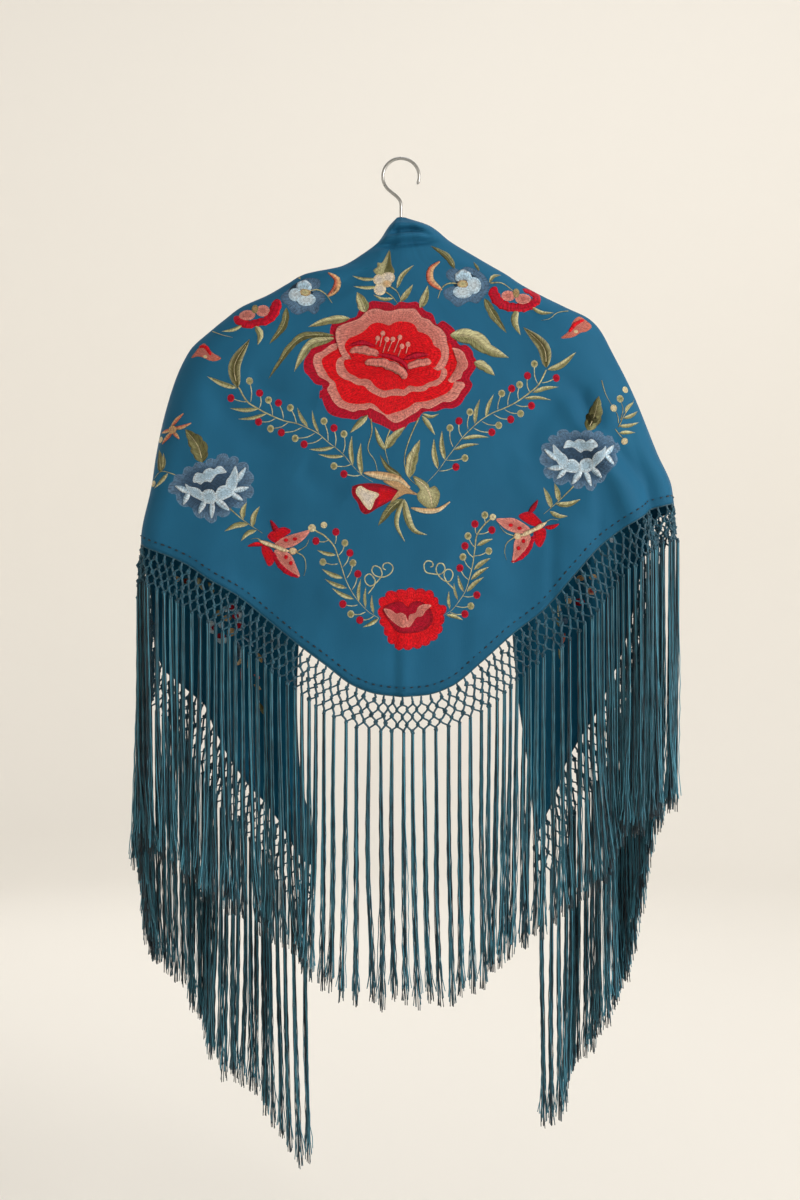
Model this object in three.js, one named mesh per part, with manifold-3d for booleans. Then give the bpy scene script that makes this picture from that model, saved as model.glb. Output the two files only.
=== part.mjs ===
import * as THREE from 'three';
import { mergeVertices } from 'three/addons/utils/BufferGeometryUtils.js';
import Module from 'manifold-3d';

// Fringed triangular shawl laid over a plain hanger, embroidered back towards -Y.
// Millimetres, +Z up, +X to the right of the back. The origin is the inside top of the hook bend.

// Cloth
const clothWall = 2;
const clothColumns = 80;
const clothRows = 30;
const sideStart = 0.45;
const sideEnd = 0.72;
const sideRadius = 58;
const backHollow = 0.72;
const edgeTuck = 8;

// Level sections of the cloth: half widths of both sides, how far the back and the fronts stand
// from the hook line, and where the two free edges hang.
const sections = [
  { height: -64, left: 5, right: 6, back: 5, front: 6, edgeLeft: 1.6, edgeRight: 1.6 },
  { height: -73, left: 13, right: 32, back: 13, front: 12, edgeLeft: 3, edgeRight: 3 },
  { height: -91, left: 25, right: 55, back: 21, front: 17, edgeLeft: 8, edgeRight: 8 },
  { height: -105, left: 43, right: 78, back: 25, front: 20, edgeLeft: 14, edgeRight: 14 },
  { height: -119, left: 68, right: 102, back: 28, front: 22, edgeLeft: 21, edgeRight: 21 },
  { height: -127, left: 107, right: 116, back: 29, front: 22, edgeLeft: 25, edgeRight: 26 },
  { height: -137, left: 125, right: 131, back: 30, front: 23, edgeLeft: 32, edgeRight: 33 },
  { height: -149, left: 146, right: 153, back: 31, front: 24, edgeLeft: 40, edgeRight: 42 },
  { height: -163, left: 177, right: 182, back: 32, front: 25, edgeLeft: 49, edgeRight: 52 },
  { height: -175, left: 193, right: 207, back: 33, front: 26, edgeLeft: 56, edgeRight: 60 },
  { height: -187, left: 208, right: 219, back: 34, front: 28, edgeLeft: 62, edgeRight: 67 },
  { height: -210, left: 233, right: 232, back: 35, front: 33, edgeLeft: 72, edgeRight: 78 },
  { height: -257, left: 255, right: 257, back: 35, front: 48, edgeLeft: 88, edgeRight: 95 },
  { height: -322, left: 273, right: 283, back: 35, front: 65, edgeLeft: 102, edgeRight: 110 },
  { height: -361, left: 280, right: 299, back: 35, front: 74, edgeLeft: 107, edgeRight: 116 },
  { height: -420, left: 291, right: 304, back: 36, front: 84, edgeLeft: 112, edgeRight: 122 },
  { height: -500, left: 291, right: 303, back: 36, front: 91, edgeLeft: 116, edgeRight: 127 },
  { height: -600, left: 287, right: 300, back: 37, front: 95, edgeLeft: 120, edgeRight: 136 },
  { height: -690, left: 281, right: 297, back: 38, front: 97, edgeLeft: 116, edgeRight: 149 },
  { height: -745, left: 279, right: 296, back: 38.5, front: 98, edgeLeft: 104, edgeRight: 154 },
  { height: -820, left: 276, right: 294, back: 39, front: 99, edgeLeft: 102, edgeRight: 158 },
];

// Height of the hem by share of the way round, from the middle of the back to a free edge.
const hem = [
  { share: 0, left: -588, right: -588 },
  { share: 0.05, left: -585, right: -586 },
  { share: 0.1, left: -576, right: -577 },
  { share: 0.16, left: -553, right: -551 },
  { share: 0.22, left: -530, right: -522 },
  { share: 0.285, left: -503, right: -494 },
  { share: 0.343, left: -479, right: -457 },
  { share: 0.4, left: -462, right: -423 },
  { share: 0.45, left: -445, right: -403 },
  { share: 0.5, left: -431, right: -385 },
  { share: 0.55, left: -422, right: -378 },
  { share: 0.6, left: -472, right: -388 },
  { share: 0.65, left: -560, right: -400 },
  { share: 0.67, left: -573, right: -438 },
  { share: 0.69, left: -585, right: -506 },
  { share: 0.71, left: -598, right: -560 },
  { share: 0.73, left: -613, right: -588 },
  { share: 0.75, left: -636, right: -603 },
  { share: 0.8, left: -671, right: -635 },
  { share: 0.85, left: -704, right: -667 },
  { share: 0.9, left: -733, right: -699 },
  { share: 0.95, left: -765, right: -728 },
  { share: 0.985, left: -787, right: -750 },
  { share: 1, left: -790, right: -752 },
];

// Folds that run down the cloth. Depth is outward, and grows from the top height to the full height.
const folds = [
  { side: -1, share: 0.3, spread: 0.05, depth: -4, top: -230, full: -480 },
  { side: -1, share: 0.4, spread: 0.022, depth: 7, top: -210, full: -400 },
  { side: -1, share: 0.452, spread: 0.02, depth: -8, top: -230, full: -420 },
  { side: -1, share: 0.52, spread: 0.025, depth: 6, top: -250, full: -420 },
  { side: -1, share: 0.6, spread: 0.025, depth: -8, top: -230, full: -420 },
  { side: -1, share: 0.72, spread: 0.03, depth: 9, top: -220, full: -520 },
  { side: -1, share: 0.8, spread: 0.026, depth: -11, top: -220, full: -560 },
  { side: -1, share: 0.88, spread: 0.028, depth: 10, top: -200, full: -560 },
  { side: -1, share: 0.96, spread: 0.028, depth: -7, top: -240, full: -600 },
  { side: 1, share: 0.24, spread: 0.05, depth: -4, top: -260, full: -500 },
  { side: 1, share: 0.36, spread: 0.03, depth: 4, top: -230, full: -420 },
  { side: 1, share: 0.438, spread: 0.016, depth: 12, top: -215, full: -360 },
  { side: 1, share: 0.468, spread: 0.013, depth: -13, top: -225, full: -370 },
  { side: 1, share: 0.53, spread: 0.028, depth: 6, top: -230, full: -380 },
  { side: 1, share: 0.62, spread: 0.026, depth: -9, top: -230, full: -410 },
  { side: 1, share: 0.71, spread: 0.028, depth: 9, top: -210, full: -500 },
  { side: 1, share: 0.78, spread: 0.024, depth: -11, top: -210, full: -540 },
  { side: 1, share: 0.86, spread: 0.028, depth: 11, top: -200, full: -560 },
  { side: 1, share: 0.94, spread: 0.028, depth: -8, top: -220, full: -580 },
];

// Rolls across the back of the neck, each from one point to another of the back, bowed downwards.
const neckRolls = [
  { fromX: -17, fromZ: -81, toX: 34, toZ: -76, bow: -4, spread: 5, depth: 9 },
  { fromX: -20, fromZ: -93, toX: 22, toZ: -84, bow: 1, spread: 4.5, depth: -8 },
  { fromX: -12, fromZ: -89, toX: 40, toZ: -88, bow: 7, spread: 6, depth: 5 },
  { fromX: -60, fromZ: -135, toX: -10, toZ: -104, bow: 2, spread: 12, depth: -3 },
  { fromX: 18, fromZ: -108, toX: 90, toZ: -140, bow: -2, spread: 13, depth: -3 },
];

// Fringe
const seamGap = 0.7;
const netWidth = 38;
const netDropLimit = 66;
const netWall = 1.6;
const strandPitch = 12.6;
const strandLevelPitch = 7.4;
const strandWidth = 3.8;
const strandEndWidth = 4.4;
const strandLength = 288;
const strandSway = 5;
const strandStagger = 2;
const fringeParts = [
  { name: 'fringe_front_left', from: -1, to: -0.72 },
  { name: 'fringe_side_left', from: -0.72, to: -0.45 },
  { name: 'fringe_back_left', from: -0.45, to: 0 },
  { name: 'fringe_back_right', from: 0, to: 0.45 },
  { name: 'fringe_side_right', from: 0.45, to: 0.72 },
  { name: 'fringe_front_right', from: 0.72, to: 1 },
];

// Hanger
const armSides = 12;
const armRows = [
  { x: 0, middle: -106, high: 10, thick: 7.5 },
  { x: 14, middle: -107.5, high: 9.5, thick: 7.5 },
  { x: 34, middle: -115, high: 9, thick: 7 },
  { x: 68, middle: -132, high: 8, thick: 7 },
  { x: 107, middle: -144, high: 8, thick: 7 },
  { x: 146, middle: -162, high: 8, thick: 6.5 },
  { x: 177, middle: -177, high: 8, thick: 6.5 },
  { x: 203, middle: -197, high: 7.5, thick: 6.5 },
  { x: 214, middle: -207, high: 7, thick: 6 },
  { x: 219, middle: -212, high: 4.5, thick: 4 },
];
const wireRadius = 1.8;
const wireSides = 10;
const hookRadius = 20;
const stemBottom = -108;
const socketGap = 0.3;
const hookPath = [
  { x: 0, z: stemBottom }, { x: 0, z: -80 }, { x: 0, z: -56 }, { x: 0, z: -49 },
  { x: -1.2, z: -44.5 }, { x: -4.6, z: -40.2 },
];

// Looks
const clothLook = { color: 0x1d5470, roughness: 0.8, metalness: 0 };
const fringeLook = { color: 0x16475c, roughness: 0.6, metalness: 0 };
const bodyLook = { color: 0xb08a5a, roughness: 0.55, metalness: 0 };
const hookLook = { color: 0xbcbab6, roughness: 0.3, metalness: 1 };

const clamp = (value, low, high) => Math.min(high, Math.max(low, value));

function smooth(value) {
  const t = clamp(value, 0, 1);
  return t * t * (3 - 2 * t);
}

// Smooth curve through a table's rows that never overshoots them.
function curve(rows, along, key, at) {
  const last = rows.length - 1;
  const rising = rows[last][along] > rows[0][along] ? 1 : -1;
  const place = (i) => rows[i][along] * rising;
  const target = at * rising;
  if (target <= place(0)) return rows[0][key];
  if (target >= place(last)) return rows[last][key];
  let i = 0;
  while (place(i + 1) < target) i += 1;
  const rate = (k) => (rows[k + 1][key] - rows[k][key]) / (place(k + 1) - place(k));
  const slope = (k) => {
    if (k === 0) return rate(0);
    if (k === last) return rate(last - 1);
    const before = rate(k - 1);
    const after = rate(k);
    return before * after <= 0 ? 0 : (2 * before * after) / (before + after);
  };
  const step = place(i + 1) - place(i);
  const t = (target - place(i)) / step;
  const start = rows[i][key] * (1 + 2 * t) * (1 - t) ** 2 + slope(i) * step * t * (1 - t) ** 2;
  const end = rows[i + 1][key] * t * t * (3 - 2 * t) - slope(i + 1) * step * t * t * (1 - t);
  return start + end;
}

// Plain section: flat back, half round side, flat front. Share runs -1 to 1, 0 is the middle back.
function sectionPoint(share, height) {
  const side = share < 0 ? -1 : 1;
  const s = Math.abs(share);
  const width = curve(sections, 'height', side < 0 ? 'left' : 'right', height);
  const back = curve(sections, 'height', 'back', height);
  const front = curve(sections, 'height', 'front', height);
  const edge = curve(sections, 'height', side < 0 ? 'edgeLeft' : 'edgeRight', height);
  const radius = Math.min(sideRadius, 0.62 * width);
  const backSide = back * backHollow;
  if (s <= sideStart) {
    const t = s / sideStart;
    return [side * (width - radius) * t, -back + (back - backSide) * smooth(t), height];
  }
  if (s <= sideEnd) {
    const turn = (Math.PI * (s - sideStart)) / (sideEnd - sideStart);
    const x = width - radius + radius * Math.sin(turn);
    const y = (front - backSide) / 2 - ((front + backSide) / 2) * Math.cos(turn);
    return [side * x, y, height];
  }
  const t = (s - sideEnd) / (1 - sideEnd);
  const tuck = edgeTuck * Math.min(1, front / 60) * t * t;
  return [side * ((width - radius) * (1 - t) + edge * t), front - tuck, height];
}

function foldDepth(share, height) {
  let depth = 0;
  for (const fold of folds) {
    const away = (share * fold.side - fold.share) / fold.spread;
    const grown = smooth((fold.top - height) / (fold.top - fold.full));
    depth += fold.depth * grown * Math.exp(-away * away);
  }
  return depth;
}

function rollDepth(x, z) {
  let depth = 0;
  for (const roll of neckRolls) {
    const alongX = roll.toX - roll.fromX;
    const alongZ = roll.toZ - roll.fromZ;
    const long = Math.hypot(alongX, alongZ);
    const t = ((x - roll.fromX) * alongX + (z - roll.fromZ) * alongZ) / (long * long);
    const across = ((z - roll.fromZ) * alongX - (x - roll.fromX) * alongZ) / long;
    const bowed = across + roll.bow * 4 * clamp(t, 0, 1) * (1 - clamp(t, 0, 1));
    const past = Math.max(0, -t, t - 1) * long;
    depth += roll.depth * Math.exp(-((bowed * bowed + past * past) / roll.spread ** 2));
  }
  return depth;
}

// The cloth with its folds: each point moves outward, level, by the fold's depth.
function clothPoint(share, height) {
  const point = sectionPoint(share, height);
  const before = sectionPoint(Math.max(-1, share - 0.004), height);
  const after = sectionPoint(Math.min(1, share + 0.004), height);
  const long = Math.hypot(after[0] - before[0], after[1] - before[1]) || 1;
  const outX = (after[1] - before[1]) / long;
  const outY = -(after[0] - before[0]) / long;
  const depth = foldDepth(share, height);
  const roll = Math.abs(share) < sideStart + 0.1 ? rollDepth(point[0], height) : 0;
  const fade = smooth((sideStart + 0.1 - Math.abs(share)) / 0.1) * smooth((-64 - height) / 8);
  return [point[0] + outX * depth, point[1] + outY * depth - roll * fade, height];
}

const hemHeight = (share) => curve(hem, 'share', share < 0 ? 'left' : 'right', Math.abs(share));

function makeSolid(name, look, points, faces) {
  const geometry = new THREE.BufferGeometry();
  geometry.setAttribute('position', new THREE.Float32BufferAttribute(points.flat(), 3));
  geometry.setIndex(faces.flat());
  geometry.computeVertexNormals();
  const mesh = new THREE.Mesh(geometry, new THREE.MeshStandardMaterial(look));
  mesh.name = name;
  return mesh;
}

// Closed wall between two grids of the same size, the first on the outside.
function wallFaces(rows, columns) {
  const faces = [];
  const inner = rows * columns;
  const at = (r, c) => r * columns + c;
  const quad = (a, b, c, d) => faces.push([a, b, c], [a, c, d]);
  for (let r = 0; r < rows - 1; r += 1) {
    for (let c = 0; c < columns - 1; c += 1) {
      quad(at(r, c), at(r + 1, c), at(r + 1, c + 1), at(r, c + 1));
      quad(inner + at(r, c), inner + at(r, c + 1), inner + at(r + 1, c + 1), inner + at(r + 1, c));
    }
  }
  const rim = (a, b) => quad(a, b, inner + b, inner + a);
  for (let c = 0; c < columns - 1; c += 1) {
    rim(at(0, c), at(0, c + 1));
    rim(at(rows - 1, c + 1), at(rows - 1, c));
  }
  for (let r = 0; r < rows - 1; r += 1) {
    rim(at(r + 1, 0), at(r, 0));
    rim(at(r, columns - 1), at(r + 1, columns - 1));
  }
  return faces;
}

function gridNormals(grid) {
  const rows = grid.length;
  const columns = grid[0].length;
  return grid.map((row, r) => row.map((point, c) => {
    const left = new THREE.Vector3(...grid[r][Math.max(0, c - 1)]);
    const right = new THREE.Vector3(...grid[r][Math.min(columns - 1, c + 1)]);
    const up = new THREE.Vector3(...grid[Math.max(0, r - 1)][c]);
    const down = new THREE.Vector3(...grid[Math.min(rows - 1, r + 1)][c]);
    return right.sub(left).cross(up.sub(down)).normalize();
  }));
}

function clothGrid() {
  const top = sections[0].height;
  const grid = [];
  for (let r = 0; r <= clothRows; r += 1) {
    const t = r / clothRows;
    const drop = 0.36 * t + 0.64 * t ** 1.7;
    const row = [];
    for (let c = 0; c <= clothColumns; c += 1) {
      const share = -1 + (2 * c) / clothColumns;
      row.push(clothPoint(share, top + (hemHeight(share) - top) * drop));
    }
    grid.push(row);
  }
  return grid;
}

function innerGrid(grid, wall) {
  const normals = gridNormals(grid);
  return grid.map((row, r) => row.map((point, c) => {
    const normal = normals[r][c];
    return [point[0] - normal.x * wall, point[1] - normal.y * wall, point[2] - normal.z * wall];
  }));
}

function makeCloth(grid) {
  const points = [...grid.flat(), ...innerGrid(grid, clothWall).flat()];
  return makeSolid('shawl_cloth', clothLook, points, wallFaces(clothRows + 1, clothColumns + 1));
}

// Hem line of the cloth as built, with the middle of the wall and its level outward direction.
function hemLine(grid) {
  const outer = grid[clothRows];
  const inner = innerGrid(grid, clothWall)[clothRows];
  return outer.map((point, c) => {
    const out = new THREE.Vector3(point[0] - inner[c][0], point[1] - inner[c][1], 0).normalize();
    const middle = point.map((value, k) => (value + inner[c][k]) / 2);
    return { middle, out, share: -1 + (2 * c) / clothColumns };
  });
}

function hemAt(line, share) {
  const place = clamp(((share + 1) / 2) * clothColumns, 0, clothColumns);
  const i = Math.min(clothColumns - 1, Math.floor(place));
  const t = place - i;
  const middle = line[i].middle.map((value, k) => value * (1 - t) + line[i + 1].middle[k] * t);
  const out = line[i].out.clone().lerp(line[i + 1].out, t).normalize();
  const [from, to] = [line[i].middle, line[i + 1].middle];
  const steep = Math.abs(to[2] - from[2]) / Math.hypot(to[0] - from[0], to[1] - from[1]);
  return { middle, out, steep };
}

// Shares an even length apart along the hem, wider apart where the hem is too steep for the strands.
function evenShares(line, from, to, pitch) {
  const fine = 600;
  const lengths = [0];
  let last = hemAt(line, from).middle;
  for (let i = 1; i <= fine; i += 1) {
    const next = hemAt(line, from + ((to - from) * i) / fine).middle;
    const level = Math.hypot(next[0] - last[0], next[1] - last[1]);
    const long = Math.hypot(level, next[2] - last[2]);
    lengths.push(lengths[i - 1] + Math.min(long, (level * pitch) / strandLevelPitch));
    last = next;
  }
  const count = Math.max(1, Math.round(lengths[fine] / pitch));
  const step = lengths[fine] / count;
  const shareAt = (length) => {
    let i = 0;
    while (i < fine - 1 && lengths[i + 1] < length) i += 1;
    const t = (length - lengths[i]) / (lengths[i + 1] - lengths[i] || 1);
    return from + ((to - from) * (i + t)) / fine;
  };
  return { count, step, shareAt };
}

// Narrow net band under one stretch of hem, with its strands drawn out of the band's lower rim.
function makeFringe(line, part) {
  const spread = evenShares(line, part.from, part.to, strandPitch);
  const stops = [seamGap / 2];
  for (let k = 0; k < spread.count; k += 1) {
    const middle = (k + 0.5) * spread.step;
    stops.push(middle - strandWidth / 2, middle + strandWidth / 2);
  }
  stops.push(spread.count * spread.step - seamGap / 2);
  const outer = [[], []];
  const inner = [[], []];
  const outs = [];
  stops.forEach((stop) => {
    const { middle, out, steep } = hemAt(line, spread.shareAt(stop));
    const slant = Math.sqrt(1 + steep * steep);
    const levels = [seamGap * slant, Math.min(netDropLimit, netWidth * slant)];
    levels.forEach((drop, row) => {
      const z = middle[2] - drop;
      outer[row].push([middle[0] + (out.x * netWall) / 2, middle[1] + (out.y * netWall) / 2, z]);
      inner[row].push([middle[0] - (out.x * netWall) / 2, middle[1] - (out.y * netWall) / 2, z]);
    });
    outs.push(out);
  });
  const columns = stops.length;
  const points = [...outer.flat(), ...inner.flat()];
  const rims = new Set();
  for (let k = 0; k < spread.count; k += 1) rims.add(1 + 2 * k);
  const faces = wallFaces(2, columns).filter((face) => !isStrandRim(face, columns, rims));
  rims.forEach((column) => {
    const share = spread.shareAt((stops[column] + stops[column + 1]) / 2);
    addStrand(points, faces, column, columns, outs[column], share);
  });
  return makeSolid(part.name, fringeLook, points, faces);
}

function isStrandRim(face, columns, rims) {
  const low = face.every((index) => Math.floor(index / columns) % 2 === 1);
  if (!low) return false;
  return rims.has(Math.min(...face.map((index) => index % columns)));
}

function addStrand(points, faces, column, columns, out, share) {
  const root = [columns + column, columns + column + 1, 3 * columns + column + 1, 3 * columns + column];
  const start = root.map((index) => points[index]);
  const centre = start.reduce((sum, point) => sum.map((value, k) => value + point[k] / 4), [0, 0, 0]);
  const along = [-out.y, out.x];
  const sway = Math.sin(share * 22 + 0.6) * strandSway;
  const stagger = ((column - 1) / 2) % 2 === 0 ? strandStagger : -strandStagger;
  const lean = Math.sin(share * 31) * strandSway * 0.5 + stagger;
  const length = strandLength + Math.sin(share * 410) * 7;
  let ring = root;
  [0.5, 1].forEach((t) => {
    const wide = (strandWidth + (strandEndWidth - strandWidth) * t) / 2;
    const deep = (netWall + 1.4 * t) / 2;
    const x = centre[0] + along[0] * sway * t * t + out.x * lean * t;
    const y = centre[1] + along[1] * sway * t * t + out.y * lean * t;
    const z = centre[2] - length * t;
    const base = points.length;
    [[-1, 1], [1, 1], [1, -1], [-1, -1]].forEach(([w, d]) => {
      const px = x + along[0] * wide * w + out.x * deep * d;
      const py = y + along[1] * wide * w + out.y * deep * d;
      points.push([px, py, z]);
    });
    const next = [base, base + 1, base + 2, base + 3];
    for (let k = 0; k < 4; k += 1) {
      const m = (k + 1) % 4;
      faces.push([ring[k], next[k], next[m]], [ring[k], next[m], ring[m]]);
    }
    ring = next;
  });
  faces.push([ring[0], ring[3], ring[2]], [ring[0], ring[2], ring[1]]);
}

// Closed body swept through rings of points, with fan ends.
function sweep(name, look, rings) {
  const sides = rings[0].length;
  const points = rings.flat();
  const faces = [];
  for (let r = 0; r < rings.length - 1; r += 1) {
    for (let k = 0; k < sides; k += 1) {
      const m = (k + 1) % sides;
      const a = r * sides;
      const b = a + sides;
      faces.push([a + k, a + m, b + m], [a + k, b + m, b + k]);
    }
  }
  const last = (rings.length - 1) * sides;
  for (let k = 1; k < sides - 1; k += 1) {
    faces.push([0, k + 1, k], [last, last + k, last + k + 1]);
  }
  return makeSolid(name, look, points, faces);
}

function makeHook() {
  const path = hookPath.map(({ x, z }) => [x, z]);
  const centreZ = wireRadius - hookRadius;
  for (let angle = -124; angle >= -385; angle -= 14.5) {
    const turn = (angle * Math.PI) / 180;
    path.push([hookRadius * Math.cos(turn), centreZ + hookRadius * Math.sin(turn)]);
  }
  const rings = path.map(([x, z], i) => {
    const before = path[Math.max(0, i - 1)];
    const after = path[Math.min(path.length - 1, i + 1)];
    const long = Math.hypot(after[0] - before[0], after[1] - before[1]);
    const sideX = (after[1] - before[1]) / long;
    const sideZ = -(after[0] - before[0]) / long;
    return Array.from({ length: wireSides }, (unused, k) => {
      const turn = (2 * Math.PI * k) / wireSides;
      const across = Math.cos(turn) * wireRadius;
      return [x + sideX * across, Math.sin(turn) * wireRadius, z + sideZ * across];
    });
  });
  return sweep('hanger_hook', hookLook, rings);
}

function makeArms() {
  const rows = [...armRows].reverse().map((row) => ({ ...row, x: -row.x })).slice(0, -1);
  const all = [...rows, ...armRows];
  const rings = all.map(({ x, middle, high, thick }) => Array.from({ length: armSides }, (unused, k) => {
    const turn = (2 * Math.PI * (k + 0.5)) / armSides;
    const y = Math.sign(Math.cos(turn)) * Math.abs(Math.cos(turn)) ** 0.8 * thick;
    const z = middle + Math.sign(Math.sin(turn)) * Math.abs(Math.sin(turn)) ** 0.8 * high;
    return [x, y, z];
  }));
  return sweep('hanger_body', bodyLook, rings);
}

function toManifold(library, geometry) {
  const bare = geometry.clone();
  bare.deleteAttribute('normal');
  bare.deleteAttribute('uv');
  const merged = mergeVertices(bare, 1e-4);
  return new library.Manifold(new library.Mesh({
    numProp: 3,
    vertProperties: new Float32Array(merged.attributes.position.array),
    triVerts: new Uint32Array(merged.index.array),
  }));
}

// The arms with a socket for the hook's stem.
async function makeBody() {
  const library = await Module();
  library.setup();
  const socketDepth = 60;
  const drill = new THREE.CylinderGeometry(
    wireRadius + socketGap, wireRadius + socketGap, socketDepth, wireSides,
  );
  drill.rotateX(Math.PI / 2);
  drill.translate(0, 0, stemBottom - socketGap + socketDepth / 2);
  const cut = toManifold(library, makeArms().geometry).subtract(toManifold(library, drill)).getMesh();
  const points = [];
  for (let i = 0; i < cut.vertProperties.length; i += cut.numProp) {
    points.push(Array.from(cut.vertProperties.slice(i, i + 3)));
  }
  return makeSolid('hanger_body', bodyLook, points, [Array.from(cut.triVerts)]);
}

const group = new THREE.Group();
group.name = 'flamenco_shawl_on_hanger';
const grid = clothGrid();
const line = hemLine(grid);
group.add(makeCloth(grid));
fringeParts.forEach((part) => group.add(makeFringe(line, part)));
group.add(await makeBody());
group.add(makeHook());

export default group;
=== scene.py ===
import math

import bpy
import numpy as np
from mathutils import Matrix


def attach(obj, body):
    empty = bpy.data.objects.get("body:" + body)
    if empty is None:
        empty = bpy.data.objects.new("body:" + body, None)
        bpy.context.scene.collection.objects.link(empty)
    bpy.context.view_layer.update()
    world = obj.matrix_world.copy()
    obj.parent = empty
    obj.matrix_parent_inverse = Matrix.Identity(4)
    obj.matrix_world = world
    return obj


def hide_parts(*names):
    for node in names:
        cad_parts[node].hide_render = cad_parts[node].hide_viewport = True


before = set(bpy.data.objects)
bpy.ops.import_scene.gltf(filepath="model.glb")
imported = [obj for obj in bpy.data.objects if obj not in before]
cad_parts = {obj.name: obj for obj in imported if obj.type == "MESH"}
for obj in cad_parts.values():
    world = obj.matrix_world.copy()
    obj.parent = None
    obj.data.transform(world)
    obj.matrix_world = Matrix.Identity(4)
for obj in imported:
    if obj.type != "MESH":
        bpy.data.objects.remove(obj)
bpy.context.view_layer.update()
print("frame loaded")

# Tables are in millimetres, meshes in metres. +X right as the back is seen, +Y to the far side, +Z up.
# The flowers lie where they do on the photo (800 x 1200), so their places are in its pixels.
view = {"mmPerPixel": 1.1, "hookX": 401, "hookY": 160, "distance": 1750, "aimHeight": -484, "imageHeight": 1200}


# nodes
class Sock:
    # one socket, with the maths that is used on it
    def __init__(self, kit, socket):
        self.kit, self.socket = kit, socket

    def __add__(self, other):
        return self.kit.math("ADD", self, other)

    def __radd__(self, other):
        return self.kit.math("ADD", other, self)

    def __sub__(self, other):
        return self.kit.math("SUBTRACT", self, other)

    def __rsub__(self, other):
        return self.kit.math("SUBTRACT", other, self)

    def __mul__(self, other):
        return self.kit.math("MULTIPLY", self, other)

    def __truediv__(self, other):
        return self.kit.math("DIVIDE", self, other)


class NodeKit:
    # adds nodes to one tree
    def __init__(self, tree):
        self.tree = tree

    def node(self, kind, settings=None, values=None):
        made = self.tree.nodes.new(kind)
        for key, value in (settings or {}).items():
            setattr(made, key, value)
        for key, value in (values or {}).items():
            target = made.inputs[key]
            if isinstance(value, Sock):
                self.tree.links.new(value.socket, target)
            else:
                target.default_value = value
        return made

    def out(self, made, key=0):
        return Sock(self, made.outputs[key])

    def get(self, kind, settings=None, values=None, key=0):  # one output of a new node
        return self.out(self.node(kind, settings, values), key)

    def math(self, operation, first, second=None, clamp=False):
        values = {0: first} if second is None else {0: first, 1: second}
        return self.get("ShaderNodeMath", {"operation": operation, "use_clamp": clamp}, values)

    def noise(self, place, scale, detail, roughness=0.5):
        values = {"Vector": place, "Scale": scale, "Detail": detail, "Roughness": roughness}
        return self.get("ShaderNodeTexNoise", None, values, "Fac")

    def scaled(self, place, factors):
        return self.get("ShaderNodeVectorMath", {"operation": "MULTIPLY"}, {0: place, 1: factors})

    def attribute(self, name, key="Fac"):
        return self.get("ShaderNodeAttribute", {"attribute_name": name}, None, key)

    def shade(self, values):  # the surface shader of a finish
        shader = self.node("ShaderNodeBsdfPrincipled", None, values)
        self.tree.links.new(shader.outputs[0], self.node("ShaderNodeOutputMaterial").inputs["Surface"])


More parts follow.
